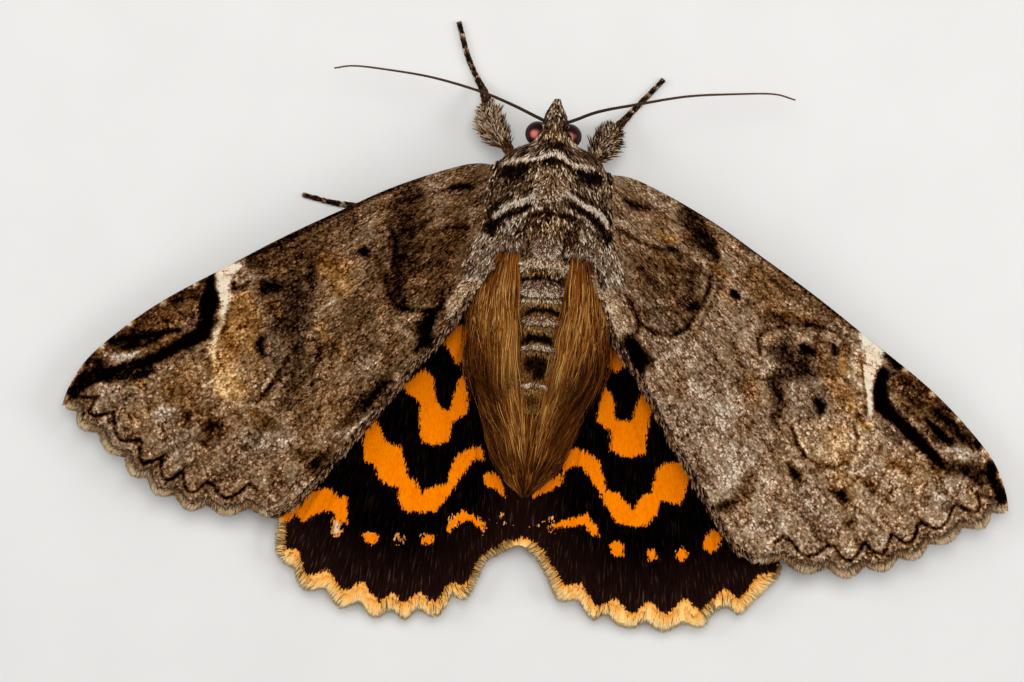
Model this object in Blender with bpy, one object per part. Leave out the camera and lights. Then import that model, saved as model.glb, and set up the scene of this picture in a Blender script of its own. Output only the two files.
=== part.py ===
"""Locust underwing moth (Euparthenos nubilis), life size, resting with its wings spread flat.

The head points to -Y and the moth's left side to +X, with +Z up and the feet on Z = 0.
Sizes below are millimetres, and MM turns them into the metres of the finished meshes.
Positions are measured from the middle of the thorax. At the end everything hangs on one
empty, which puts the middle of the model's footprint on the origin.
"""
import math
import random

import bmesh
import bpy
import numpy as np
from mathutils import Vector
from mathutils.geometry import delaunay_2d_cdt

MM = 0.001
GAP = 0.3
LEFT = 1
RIGHT = -1
SIDE_NAMES = {LEFT: "left", RIGHT: "right"}

# Body: rows of length position, half width of the belly, half width of the back with its hair,
# underside, widest level and top.
BODY_ROWS = (
    (-6.40, 0.12, 0.12, 3.75, 3.85, 3.97),
    (-5.75, 0.45, 0.45, 3.35, 3.85, 4.20),
    (-5.25, 0.78, 0.78, 2.80, 3.60, 4.45),
    (-4.50, 1.20, 1.20, 2.35, 3.60, 4.85),
    (-3.70, 1.45, 1.45, 2.30, 3.70, 5.10),
    (-3.30, 2.30, 2.30, 2.10, 3.90, 5.55),
    (-2.70, 2.95, 2.95, 1.85, 4.10, 6.20),
    (-1.80, 3.30, 3.30, 1.60, 4.25, 6.80),
    (0.00, 3.45, 3.45, 1.40, 4.30, 7.20),
    (2.00, 3.20, 3.20, 1.45, 4.30, 6.80),
    (3.20, 2.85, 2.85, 1.60, 4.25, 6.30),
    (4.20, 2.50, 2.50, 1.75, 4.15, 5.90),
    (5.00, 2.50, 2.80, 1.70, 3.80, 5.70),
    (6.50, 2.60, 3.60, 1.50, 3.50, 5.50),
    (8.00, 2.65, 4.15, 1.30, 3.25, 5.25),
    (10.00, 2.50, 4.30, 1.20, 3.00, 4.85),
    (12.00, 2.20, 3.95, 1.15, 2.75, 4.40),
    (14.00, 1.80, 3.35, 1.20, 2.50, 3.90),
    (16.00, 1.20, 2.60, 1.50, 2.35, 3.30),
    (17.40, 0.60, 1.50, 1.92, 2.35, 2.85),
    (18.30, 0.15, 0.30, 2.10, 2.25, 2.45),
)
BODY_ROUNDNESS = 2.2
BODY_SIDES = 28
HEAD_FROM, HEAD_TO = -6.40, -3.70
COLLAR_FROM, COLLAR_TO = -3.40, -1.90
THORAX_FROM, THORAX_TO = -1.60, 4.20
ABDOMEN_FROM, ABDOMEN_TO = 4.50, 18.30

EYE_RADIUS = 0.85
EYE_CENTRES = {LEFT: (1.05, -4.45, 3.50), RIGHT: (-0.90, -4.40, 3.50)}
EYE_RINGS = 10
EYE_SEGMENTS = 16

# Feelers: points from the head to the tip, and the thickness of the thread.
ANTENNA_ROUTES = {
    LEFT: ((0.55, -4.95, 5.00), (1.20, -5.20, 5.05), (2.90, -5.90, 4.70), (5.00, -6.60, 4.20),
           (8.00, -7.25, 3.50), (11.00, -7.55, 2.90), (12.90, -7.62, 2.60), (14.10, -7.40, 2.40)),
    RIGHT: ((-0.45, -4.95, 5.00), (-1.10, -5.20, 5.05), (-2.60, -5.90, 4.70), (-5.00, -6.60, 4.20),
            (-8.00, -7.40, 3.50), (-11.00, -7.85, 2.90), (-13.40, -8.08, 2.60), (-14.80, -7.85, 2.40)),
}
ANTENNA_RADIUS = 0.25
ANTENNA_TIP_RADIUS = 0.12

# Locks of the coat: rows of start position, number across and length.
ABDOMEN_LOCKS = ((4.70, 7, 5.2), (7.00, 8, 5.6), (9.50, 8, 5.4), (12.00, 6, 5.0), (14.30, 4, 3.7))
ABDOMEN_LOCK_SIZE = (0.56, 0.22)
ABDOMEN_SPREAD = 0.97
LOCK_STATIONS = 4
LOCK_SINK = 0.30
COAT_DEPTH = 0.40
THORAX_COAT_DEPTH = 0.30
# Plates of close scales raised on the body: share across the back, half width as such a share,
# start, length and rise. Collar flaps; shoulder flaps, middle crest, rear shield and tufts; crests.
COLLAR_PLATES = ((-0.48, 0.42, -3.30, 1.35, 0.28), (0.48, 0.42, -3.30, 1.35, 0.28))
THORAX_PLATES = (
    (-0.66, 0.30, -1.50, 3.10, 0.38), (0.66, 0.30, -1.50, 3.10, 0.38), (0.00, 0.24, -1.55, 2.30, 0.55),
    (0.00, 0.50, 0.80, 2.10, 0.34), (-0.74, 0.24, 1.60, 2.45, 0.42), (0.74, 0.24, 1.60, 2.45, 0.42),
    (0.00, 0.46, 2.70, 1.45, 0.40),
)
ABDOMEN_CRESTS = ((0.00, 0.44, 4.70, 1.45, 0.62), (0.00, 0.27, 6.50, 1.35, 0.62),
                  (0.00, 0.22, 8.35, 1.30, 0.60), (0.00, 0.15, 10.60, 1.25, 0.50))
PLATE_STATIONS = 6
PLATE_COLUMNS = 5
PLATE_SINK = 0.35

PALP_ROUTE = ((0.42, -4.75, 1.78), (0.46, -5.55, 2.15), (0.42, -6.10, 2.75), (0.32, -6.55, 3.25))
PALP_RADII = (0.32, 0.36, 0.30, 0.12)
PALP_MIDDLE = 0.10

# Legs: each route runs from the body to the claw, with the half thickness at each point.
FOOT_LEVEL = 0.20
LEG_ROUTES = {
    "leg_fore_left": ((2.45, -2.75, 2.35), (3.20, -3.85, 1.95), (4.30, -5.90, 1.35), (4.75, -7.00, 0.55),
                      (5.30, -7.90, FOOT_LEVEL), (5.95, -9.20, FOOT_LEVEL), (6.65, -11.20, FOOT_LEVEL)),
    "leg_fore_right": ((-2.45, -2.75, 2.35), (-2.90, -3.55, 1.95), (-3.60, -4.85, 1.35),
                       (-4.20, -5.70, 0.55), (-4.75, -6.40, FOOT_LEVEL), (-5.45, -7.25, FOOT_LEVEL),
                       (-6.60, -8.65, FOOT_LEVEL)),
    "leg_mid_left": ((2.55, 0.20, 1.75), (5.20, -0.30, 2.15), (8.20, 0.30, 1.20), (10.60, 0.80, 0.50),
                     (11.90, 0.95, FOOT_LEVEL), (13.60, 0.90, FOOT_LEVEL), (15.60, 0.55, FOOT_LEVEL)),
    "leg_mid_right": ((-2.55, 0.20, 1.75), (-4.90, 0.90, 2.15), (-7.40, 2.30, 1.20), (-9.20, 3.60, 0.50),
                      (-10.20, 4.30, FOOT_LEVEL), (-11.60, 5.10, FOOT_LEVEL), (-13.20, 6.00, FOOT_LEVEL)),
    "leg_hind_left": ((2.05, 2.90, 1.60), (3.90, 5.20, 1.35), (5.20, 8.20, 0.95), (6.00, 10.20, 0.45),
                      (6.40, 11.20, FOOT_LEVEL), (6.95, 12.70, FOOT_LEVEL), (7.60, 14.40, FOOT_LEVEL)),
    "leg_hind_right": ((-2.05, 2.90, 1.60), (-3.90, 5.20, 1.35), (-5.20, 8.20, 0.95), (-6.00, 10.20, 0.45),
                       (-6.40, 11.20, FOOT_LEVEL), (-6.95, 12.70, FOOT_LEVEL), (-7.60, 14.40, FOOT_LEVEL)),
}
LEG_RADII = (0.34, 0.42, 0.48, 0.34, 0.27, 0.26, 0.22)
FORE_LEG_RADII = (0.36, 0.55, 0.62, 0.34, 0.27, 0.26, 0.22)

# Tufts of the fore legs and spurs of the others: number, length, and half width and thickness.
FORE_LEG_LOCKS = (10, 1.7, (0.50, 0.22))
LEG_SPURS = (2, 1.3, (0.16, 0.14))

# Wings: one pattern for the forewings, measured from the base of the leading edge. Each side
# stretches it so that its own apex and tornus come where that wing has them.
WING_THICKNESS = 0.50
VEIN_HEIGHT = 0.22
VEIN_HALF_WIDTH = 0.38
VEIN_FADE = 1.0
FOREWING_BASE = (3.60, -2.10)
FOREWING_APEX = (26.30, 18.00)
FOREWING_TORNUS = (11.55, 23.25)
FOREWING_ENDS = {LEFT: ((29.40, 15.10), (15.60, 21.00)), RIGHT: ((30.40, 16.70), (14.70, 21.30))}
FOREWING_COSTA = ((0.90, 0.02), (3.40, 0.80), (6.60, 2.25), (9.10, 3.65), (13.00, 5.90), (16.90, 8.40),
                  (19.90, 10.35), (22.00, 11.95), (24.00, 13.80), (25.20, 15.20), (26.00, 16.80),
                  FOREWING_APEX)
FOREWING_LOBES = (FOREWING_APEX, (25.00, 19.25), (23.00, 20.45), (21.20, 21.75), (19.40, 22.75),
                  (17.15, 23.50), (14.60, 23.50), FOREWING_TORNUS)
FOREWING_INNER = (FOREWING_TORNUS, (10.20, 22.40), (8.60, 20.40), (6.90, 18.00), (5.00, 15.30),
                  (3.55, 13.10), (1.45, 10.40), (0.70, 8.90), (0.00, 7.50), (-0.70, 6.50))
FOREWING_VEINS = (
    ((0.40, 1.00), (8.00, 3.90), (13.50, 7.10), (17.60, 9.20)),
    ((9.00, 6.80), (14.50, 8.90), (19.60, 10.80)),
    ((13.00, 9.25), (18.00, 11.10), (22.30, 12.80)),
    ((16.00, 11.20), (20.50, 12.90), (24.40, 15.00)),
    ((0.30, 2.00), (9.00, 6.80), (16.00, 11.20), (21.50, 14.40), (25.60, 17.40)),
    ((16.00, 11.20), (20.40, 15.50), (24.40, 18.80)),
    ((13.20, 15.60), (18.40, 17.80), (22.50, 19.90)),
    ((13.20, 15.60), (17.20, 18.80), (20.70, 21.20)),
    ((0.20, 3.10), (7.00, 10.00), (13.20, 15.60), (15.80, 19.00), (19.00, 22.20)),
    ((9.30, 12.20), (13.20, 18.40), (16.90, 22.90)),
    ((0.00, 4.60), (3.90, 11.80), (8.20, 18.20), (11.60, 22.40)),
)
FOREWING_ROOT_LEVEL = 4.35
FOREWING_EDGE_LEVEL = 2.05
FOREWING_TIP_DROP = 0.70
FOREWING_DROP_FROM = 16.0
FOREWING_SPAN = 30.0
FOREWING_SLOPE_LENGTH = 13.0

HINDWING_ROOT = (3.00, 3.40)
HINDWING_COSTA = {
    LEFT: ((3.90, 2.70), (7.00, 4.40), (10.60, 8.60), (13.40, 13.60), (14.90, 18.00), (15.30, 21.00)),
    RIGHT: ((3.90, 2.70), (7.20, 4.40), (11.20, 8.60), (14.20, 13.60), (15.90, 18.00), (16.40, 21.00)),
}
HINDWING_LOBES = {
    LEFT: ((15.30, 21.00), (15.30, 23.10), (13.20, 25.40), (10.90, 26.35), (8.60, 26.80), (6.80, 26.75),
           (5.00, 26.45), (3.10, 25.20), (1.80, 22.60)),
    RIGHT: ((16.40, 21.00), (16.30, 22.30), (14.20, 24.70), (11.90, 25.70), (9.40, 26.20), (7.50, 26.10),
            (5.00, 25.80), (3.00, 24.75), (1.70, 22.60)),
}
HINDWING_NOTCH = ((0.95, 21.85), (0.15, 21.50), (0.15, 20.00), (0.15, 18.90))
HINDWING_VEIN_STARTS = ((4.00, 3.60), (9.20, 12.40), (9.20, 12.40), (7.00, 14.80), (7.00, 14.80),
                        (6.40, 13.30), (5.60, 11.40), (3.60, 5.80))
HINDWING_VEIN_BOW = 0.45
HINDWING_ROOT_LEVEL = 2.90
HINDWING_EDGE_LEVEL = 0.95
HINDWING_SLOPE_LENGTH = 9.0
SCALLOP_DEPTH = 0.55
OUTLINE_STEP = 1.5
VEIN_STEP = 2.0
MEMBRANE_STEP = 2.2

BROWN = (0.20, 0.15, 0.11)
GREY_BROWN = (0.34, 0.28, 0.22)
GOLDEN = (0.42, 0.24, 0.08)
ORANGE_BLACK = (0.30, 0.12, 0.03)
BLACK = (0.01, 0.008, 0.008)


def smooth_path(points, step):
    """Catmull-Rom curve through the points, read at even shares of each span, about step apart."""
    knots = np.array(points, float)
    padded = np.vstack((2 * knots[0] - knots[1], knots, 2 * knots[-1] - knots[-2]))
    pieces = []
    for before, start, end, after in zip(padded[:-3], padded[1:-2], padded[2:-1], padded[3:]):
        count = max(1, math.ceil(np.linalg.norm(end - start) / step))
        t = (np.arange(count) / count)[:, None]
        pieces.append(0.5 * (2 * start + (end - before) * t
                             + (2 * before - 5 * start + 4 * end - after) * t ** 2
                             + (3 * start - before - 3 * end + after) * t ** 3))
    return np.vstack(pieces + [knots[-1:]])


BODY_CURVE = smooth_path(BODY_ROWS, 0.25)


def body_at(y):
    """The body's belly half width, back half width, underside, widest level and top at y."""
    return [np.interp(y, BODY_CURVE[:, 0], BODY_CURVE[:, column]) for column in range(1, 6)]


def belly_half_width(y, z):
    """Half width at level z of the body's lower half, and the widest one above that half."""
    belly, _, under, middle, _ = body_at(y)
    depth = np.clip((middle - z) / (middle - under), 0, 0.999)
    return belly * (1 - depth ** BODY_ROUNDNESS) ** (1 / BODY_ROUNDNESS)


def core_at(y):
    """Half width and top of the body under the coat, half way out to the tips of its hair."""
    belly, back, _, _, top = body_at(y)
    abdomen = np.clip((y - ABDOMEN_FROM) / 1.0, 0, 1) * np.clip((ABDOMEN_TO - y) / 2.0, 0, 1)
    thorax = np.clip((y - THORAX_FROM) / 0.6, 0, 1) * np.clip((THORAX_TO - y) / 0.6, 0, 1)
    return belly + 0.5 * (back - belly), top - COAT_DEPTH * abdomen - THORAX_COAT_DEPTH * thorax


def body_ring(y):
    """One closed cross-section: an upper half oval of the back's width on a lower one of the belly's."""
    belly, back, under, middle, top = body_at(y)
    back, top = core_at(y)
    half = BODY_SIDES // 2
    upper = np.linspace(0, math.pi, half)
    lower = np.linspace(math.pi, 2 * math.pi, half)
    power = 2 / BODY_ROUNDNESS
    ring = []
    for angles, width, height in ((upper, back, top - middle), (lower, belly, middle - under)):
        across = np.sign(np.cos(angles)) * np.abs(np.cos(angles)) ** power
        along = np.sign(np.sin(angles)) * np.abs(np.sin(angles)) ** power
        level = middle - 0.04 * (angles is lower)
        ring.append(np.column_stack((width * across, np.full(half, y), level + height * along)))
    return np.vstack(ring)


def lofted(rings):
    """A closed skin over rings of equal length, with a fan at each end."""
    sides = len(rings[0])
    verts = np.vstack(list(rings) + [rings[0].mean(0)[None], rings[-1].mean(0)[None]])
    faces = []
    for row in range(len(rings) - 1):
        for side in range(sides):
            a, b = row * sides + side, row * sides + (side + 1) % sides
            faces.append((a, b, b + sides, a + sides))
    first, last, offset = len(verts) - 2, len(verts) - 1, (len(rings) - 1) * sides
    for side in range(sides):
        faces.append((first, (side + 1) % sides, side))
        faces.append((last, offset + side, offset + (side + 1) % sides))
    return verts, faces


def tube(route, radii, sides, step, floor=False, flatness=1.0):
    """A closed tube along the smooth route, its half thickness read from radii at the route's points."""
    rows = smooth_path(np.column_stack((route, radii)), step)
    centres, half = rows[:, :3], rows[:, 3]
    ahead = np.gradient(centres, axis=0)
    ahead /= np.linalg.norm(ahead, axis=1)[:, None]
    across = np.cross(ahead, (0, 0, 1))
    across /= np.linalg.norm(across, axis=1)[:, None]
    upward = np.cross(across, ahead)
    angles = np.arange(sides) / sides * 2 * math.pi + math.pi / sides
    rings = []
    for centre, side, up, radius in zip(centres, across, upward, half):
        ring = centre + radius * (np.cos(angles)[:, None] * side + flatness * np.sin(angles)[:, None] * up)
        if floor:
            ring[:, 2] = np.maximum(ring[:, 2], 0)
        rings.append(ring)
    return lofted(rings)


def lock(centres, across, half_width, half_thickness):
    """A flat tapered lock along the centres: a lozenge at each point, closed by a fine tip."""
    centres, across = np.array(centres, float), np.array(across, float)
    ahead = np.gradient(centres, axis=0)
    upward = np.cross(across, ahead)
    upward /= np.linalg.norm(upward, axis=1)[:, None]
    share = np.linspace(0, 1, len(centres))
    taper = np.maximum(np.minimum(0.75 + 1.2 * share, 1) * (1 - share ** 2.2), 0.12)
    rings = []
    for centre, side, up, size in zip(centres, across, upward, taper):
        wide, thick = size * half_width * side, max(size, 0.3) * half_thickness * up
        rings.append(np.array((centre + wide, centre + thick, centre - wide, centre - thick)))
    return lofted(rings)


def coat_point(share_across, y, out):
    """A point over the back: share_across from flank to flank, out from the core to the hair's tips."""
    _, back, _, middle, top = body_at(y)
    core_width, core_top = core_at(y)
    width = core_width + (back - core_width) * out
    height = core_top + (top - core_top) * out - middle
    rise = (1 - np.abs(share_across) ** BODY_ROUNDNESS) ** (1 / BODY_ROUNDNESS)
    return np.column_stack((share_across * width, y, middle + height * rise))


def abdomen_locks():
    """Locks that lie along the back from row to row and draw together towards the tail."""
    locks = []
    along = np.linspace(0, 1, LOCK_STATIONS)
    out = np.sin(0.70 * math.pi * along)
    for start, count, length in ABDOMEN_LOCKS:
        for number in range(count):
            share = ABDOMEN_SPREAD * (2 * number / (count - 1) - 1) + random.uniform(-0.03, 0.03)
            reach = length * random.uniform(0.85, 1.1)
            begin = max(start + random.uniform(-0.7, 0.7), ABDOMEN_FROM + 0.15)
            y = np.minimum(begin + reach * along, ABDOMEN_TO + 0.1 * (along - 1))
            bend = share + random.uniform(-0.05, 0.05) * along ** 2
            bend = np.clip(bend, -ABDOMEN_SPREAD, ABDOMEN_SPREAD)
            centres = coat_point(bend, y, out)
            across = coat_point(bend + 0.02, y, out) - coat_point(bend - 0.02, y, out)
            across /= np.linalg.norm(across, axis=1)[:, None]
            centres[0, 2] -= LOCK_SINK
            locks.append(lock(centres, across, *ABDOMEN_LOCK_SIZE))
    return locks


def plate(share, half_share, start, length, rise):
    """A rounded flap of close scales on the back, sunk at its front edge and raised at its rear one."""
    along = np.linspace(0, 1, PLATE_STATIONS)
    columns = np.linspace(-1, 1, PLATE_COLUMNS)
    rings = []
    for t in along:
        rim = max(math.sqrt(math.sin(math.pi * (0.08 + 0.84 * t))), 0.3)
        spread = np.clip(share + half_share * rim * columns, -0.98, 0.98)
        surface = coat_point(spread, np.full(PLATE_COLUMNS, start + length * t), 0)
        _, _, _, middle, _ = body_at(start + length * t)
        outward = surface - (0, start + length * t, middle - 1.0)
        outward /= np.linalg.norm(outward, axis=1)[:, None]
        lift = rise * min(1, 1.5 * t + 0.05) * (1 - 0.55 * columns ** 2) * (1 - t ** 10)
        top = surface + lift[:, None] * outward
        bottom = surface - PLATE_SINK * outward
        rings.append(np.vstack((top, bottom[::-1])))
    return lofted(rings)


def leg_locks(route, count, length, size):
    """Locks that fan out from the thick middle of a leg, combed towards its foot."""
    points = smooth_path(route[1:4], 0.2)
    locks = []
    for number in range(count):
        share = (number + 0.5) / count
        place = points[int(share * (len(points) - 1) * 0.85)]
        ahead = points[-1] - points[0]
        ahead /= np.linalg.norm(ahead)
        outward = np.cross(ahead, (0, 0, 1)) * (-1) ** number
        outward = outward / np.linalg.norm(outward) + np.array((0, 0, random.uniform(-0.1, 0.5)))
        reach = length * random.uniform(0.85, 1.15)
        steps = np.linspace(0, 1, LOCK_STATIONS)[:, None]
        centres = place + reach * (0.85 * steps * ahead + (0.65 * steps - 0.25 * steps ** 2) * outward)
        across = np.tile(ahead - 0.3 * outward, (LOCK_STATIONS, 1))
        across /= np.linalg.norm(across, axis=1)[:, None]
        locks.append(lock(centres, across, *size))
    return locks


def fuse(node, pieces):
    """Join closed pieces to the node in one union, and keep its largest closed surface."""
    group = bpy.data.collections.new("pieces")
    for piece in pieces:
        group.objects.link(add_node("piece", piece, BROWN))
    union = node.modifiers.new("union", "BOOLEAN")
    union.operation = "UNION"
    union.operand_type = "COLLECTION"
    union.solver = "EXACT"
    union.collection = group
    depsgraph = bpy.context.evaluated_depsgraph_get()
    fused = bpy.data.meshes.new_from_object(node.evaluated_get(depsgraph))
    node.modifiers.clear()
    node.data = fused
    for piece in list(group.objects):
        bpy.data.objects.remove(piece)
    bpy.data.collections.remove(group)
    keep_largest(fused)


def keep_largest(mesh):
    """Drop every closed surface of the mesh but the one with the most volume."""
    shell = bmesh.new()
    shell.from_mesh(mesh)
    bmesh.ops.triangulate(shell, faces=shell.faces)
    waiting = set(shell.faces)
    surfaces = []
    while waiting:
        surface = set()
        front = [waiting.pop()]
        while front:
            face = front.pop()
            surface.add(face)
            linked = {near for edge in face.edges for near in edge.link_faces if near in waiting}
            waiting -= linked
            front.extend(linked)
        surfaces.append(surface)

    def volume(surface):
        corners = [[corner.co for corner in face.verts] for face in surface]
        return sum(a.dot(b.cross(c)) for a, b, c in corners)

    surfaces.sort(key=volume)
    scrap = [face for surface in surfaces[:-1] for face in surface]
    bmesh.ops.delete(shell, geom=scrap, context="FACES")
    shell.to_mesh(mesh)
    shell.free()


def material(name, colour, roughness):
    """A Principled surface of one colour."""
    surface = bpy.data.materials.new(name)
    surface.use_nodes = True
    shader = surface.node_tree.nodes["Principled BSDF"]
    shader.inputs["Base Color"].default_value = (*colour, 1)
    shader.inputs["Roughness"].default_value = roughness
    shader.inputs["Metallic"].default_value = 0
    return surface


def add_node(name, shape, colour, roughness=0.8):
    """One named solid with outward faces, its own material and smooth shading."""
    verts, faces = shape
    mesh = bpy.data.meshes.new(name)
    mesh.from_pydata((np.asarray(verts) * MM).tolist(), [], faces)
    shell = bmesh.new()
    shell.from_mesh(mesh)
    bmesh.ops.triangulate(shell, faces=shell.faces)
    bmesh.ops.recalc_face_normals(shell, faces=shell.faces)
    shell.to_mesh(mesh)
    shell.free()
    mesh.shade_smooth()
    node = bpy.data.objects.new(name, mesh)
    bpy.context.scene.collection.objects.link(node)
    mesh.materials.append(material(name, colour, roughness))
    return node


def body_node(name, start, end, rings, colour):
    """One length of the body between two positions, closed by flat ends."""
    return add_node(name, lofted([body_ring(y) for y in np.linspace(start, end, rings)]), colour)


def cut(node, cutter):
    """Take the cutter's volume out of the node and remove the cutter."""
    boolean = node.modifiers.new("socket", "BOOLEAN")
    boolean.operation = "DIFFERENCE"
    boolean.solver = "EXACT"
    boolean.object = cutter
    depsgraph = bpy.context.evaluated_depsgraph_get()
    carved = bpy.data.meshes.new_from_object(node.evaluated_get(depsgraph))
    node.modifiers.clear()
    node.data = carved
    bpy.data.objects.remove(cutter)


def ball(centre, radius):
    """A round ball of latitude rings whose poles face sideways."""
    angles = np.linspace(0, math.pi, EYE_RINGS + 1)[1:-1]
    turn = np.arange(EYE_SEGMENTS) / EYE_SEGMENTS * 2 * math.pi
    rings = [np.column_stack((np.full(EYE_SEGMENTS, math.cos(a)), math.sin(a) * np.cos(turn),
                              math.sin(a) * np.sin(turn))) * radius + centre for a in angles]
    return lofted(rings)


def distance_to_lines(points, lines):
    """Distance from each point to the nearest of the broken lines."""
    nearest = np.full(len(points), np.inf)
    for line in lines:
        for start, end in zip(line[:-1], line[1:]):
            span = end - start
            share = np.clip(((points - start) @ span) / (span @ span), 0, 1)
            nearest = np.minimum(nearest, np.linalg.norm(points - start - share[:, None] * span, axis=1))
    return nearest


def inside(points, outline):
    """Whether each point lies inside the closed outline, by counting crossings."""
    x, y = points[:, 0], points[:, 1]
    result = np.zeros(len(points), bool)
    for (x0, y0), (x1, y1) in zip(outline, np.roll(outline, -1, axis=0)):
        crosses = (y0 > y) != (y1 > y)
        with np.errstate(divide="ignore", invalid="ignore"):
            result ^= crosses & (x < (x1 - x0) * (y - y0) / (y1 - y0) + x0)
    return result


def scallops(lobes, inward):
    """Rounded lobes with sharp notches between them, along the given lobe tips."""
    tips = np.array(lobes, float)
    points = []
    for start, end in zip(tips[:-1], tips[1:]):
        span = end - start
        normal = inward * np.array((-span[1], span[0])) / np.linalg.norm(span)
        for share in (0, 0.25, 0.5, 0.75):
            dent = SCALLOP_DEPTH * (1 - abs(math.cos(math.pi * share)))
            points.append(start + share * span + dent * normal)
    points.append(tips[-1])
    return np.array(points)


def wing(outline, veins, level):
    """A membrane over the outline: level gives its middle height and the veins stand up as ridges.

    Both faces share one triangulation, so the sheet never crosses itself.
    """
    lines = [smooth_path(vein, VEIN_STEP) for vein in veins]
    low, high = outline.min(0), outline.max(0)
    columns, rows = np.meshgrid(np.arange(low[0], high[0], MEMBRANE_STEP),
                                np.arange(low[1], high[1], MEMBRANE_STEP * 0.87))
    columns[1::2] += MEMBRANE_STEP / 2
    field = np.column_stack((columns.ravel(), rows.ravel()))
    closed = np.vstack((outline, outline[:1]))
    clear = distance_to_lines(field, [closed]) > 0.5 * MEMBRANE_STEP
    clear &= distance_to_lines(field, lines) > 2 * VEIN_HALF_WIDTH
    field = field[inside(field, outline) & clear]
    flanks = []
    for line in lines:
        ahead = np.gradient(line, axis=0)
        normal = np.column_stack((-ahead[:, 1], ahead[:, 0])) / np.linalg.norm(ahead, axis=1)[:, None]
        for sign in (-1, 1):
            flanks.append(line + sign * VEIN_HALF_WIDTH * normal)
    flank_points = np.vstack(flanks)
    apart = distance_to_lines(flank_points, lines) > 0.95 * VEIN_HALF_WIDTH
    apart &= distance_to_lines(flank_points, [closed]) > 0.5 * VEIN_HALF_WIDTH
    flank_points = flank_points[apart & inside(flank_points, outline)]
    points = [Vector(p) for p in np.vstack((outline, *lines, flank_points, field))]
    edges = [(i, (i + 1) % len(outline)) for i in range(len(outline))]
    first = len(outline)
    for line in lines:
        edges += [(first + i, first + i + 1) for i in range(len(line) - 1)]
        first += len(line)
    flat, _, triangles, *_ = delaunay_2d_cdt(points, edges, [tuple(range(len(outline)))], 1, 1e-3)
    plan = np.array([tuple(p) for p in flat])
    share = np.clip(1 - distance_to_lines(plan, lines) / VEIN_HALF_WIDTH, 0, 1)
    share *= np.clip(distance_to_lines(plan, [closed]) / VEIN_FADE, 0, 1)
    middle = level(plan[:, 0], plan[:, 1])
    upper = np.column_stack((plan, middle + WING_THICKNESS / 2 + VEIN_HEIGHT * share))
    lower = np.column_stack((plan, middle - WING_THICKNESS / 2 - 0.5 * VEIN_HEIGHT * share))
    count = len(plan)
    faces = []
    open_edges = {}
    for a, b, c in triangles:
        faces.append((a, b, c))
        faces.append((c + count, b + count, a + count))
        for edge in ((a, b), (b, c), (c, a)):
            if edge[::-1] in open_edges:
                del open_edges[edge[::-1]]
            else:
                open_edges[edge] = True
    faces += [(b, a, a + count, b + count) for a, b in open_edges]
    return np.vstack((upper, lower)), faces


def forewing_level(x, y):
    """Height of the forewing's middle: high at the thorax, settling outwards, lowest at the apex."""
    away = np.hypot(np.abs(x) - 3.6, y - 1.0)
    lift = (FOREWING_ROOT_LEVEL - FOREWING_EDGE_LEVEL) * np.exp(-(away / FOREWING_SLOPE_LENGTH) ** 2)
    beyond = np.clip((np.abs(x) - FOREWING_DROP_FROM) / (FOREWING_SPAN - FOREWING_DROP_FROM), 0, 1)
    return FOREWING_EDGE_LEVEL + lift - FOREWING_TIP_DROP * beyond ** 2


def hindwing_level(x, y):
    """Height of the hindwing's middle, falling from its root to a rim close to the floor."""
    away = np.hypot(np.abs(x) - HINDWING_ROOT[0], y - HINDWING_ROOT[1])
    lift = (HINDWING_ROOT_LEVEL - HINDWING_EDGE_LEVEL) * np.exp(-(away / HINDWING_SLOPE_LENGTH) ** 2)
    return HINDWING_EDGE_LEVEL + lift


def forewing_place(points, side):
    """The pattern stretched to one wing: its apex and tornus land on that side's own."""
    base = np.array(FOREWING_BASE)
    ends = np.array(FOREWING_ENDS[side]) - base
    stretch = np.linalg.solve(np.array((FOREWING_APEX, FOREWING_TORNUS)), ends)
    return base + np.array(points, float) @ stretch


def root_edge(start, end, level):
    """The wing's edge along the body, from y start to y end, GAP clear of its side."""
    ys = np.linspace(start, end, max(2, math.ceil(abs(end - start) / OUTLINE_STEP) + 1))
    top = level(belly_half_width(ys, np.inf), ys) + WING_THICKNESS / 2
    xs = belly_half_width(ys, top + GAP) + GAP
    return np.column_stack((xs, ys))


def mirrored(points, side):
    """Points of the pattern, which is drawn for the left side, carried over to the given side."""
    return np.array(points, float) * (side, 1)


def forewing(side):
    """Outline and veins of one forewing, in the plane seen from above."""
    costa = forewing_place(smooth_path(FOREWING_COSTA, OUTLINE_STEP), side)
    margin = scallops(forewing_place(FOREWING_LOBES, side), 1)
    inner = forewing_place(smooth_path(FOREWING_INNER, OUTLINE_STEP), side)
    root = root_edge(3.7, -1.3, forewing_level)
    outline = mirrored(np.vstack((costa, margin[1:-1], inner, root)), side)
    veins = [mirrored(forewing_place(vein, side), side) for vein in FOREWING_VEINS]
    return outline, veins


def hindwing(side):
    """Outline and veins of one hindwing. Veins bow gently from the cell to the lobe tips."""
    costa = smooth_path(HINDWING_COSTA[side], OUTLINE_STEP)
    margin = scallops(HINDWING_LOBES[side], 1)
    notch = smooth_path((HINDWING_LOBES[side][-1],) + HINDWING_NOTCH, OUTLINE_STEP)[1:]
    root = root_edge(18.0, 3.0, hindwing_level)
    root[:, 0] = np.maximum(root[:, 0], HINDWING_NOTCH[-1][0])
    outline = mirrored(np.vstack((costa, margin[1:], notch, root)), side)
    veins = []
    for start, tip in zip(HINDWING_VEIN_STARTS, HINDWING_LOBES[side][1:]):
        start, tip = np.array(start), np.array(tip)
        end = start + 0.93 * (tip - start)
        middle = (start + end) / 2 + HINDWING_VEIN_BOW * np.array((1, 0))
        veins.append(mirrored((start, middle, end), side))
    stem = ((3.60, 4.00), (6.20, 8.00), (9.20, 12.40))
    fork = ((3.30, 4.80), (4.80, 9.40), (5.60, 11.40), (7.00, 14.80))
    veins += [mirrored(stem, side), mirrored(fork, side)]
    return outline, veins


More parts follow.
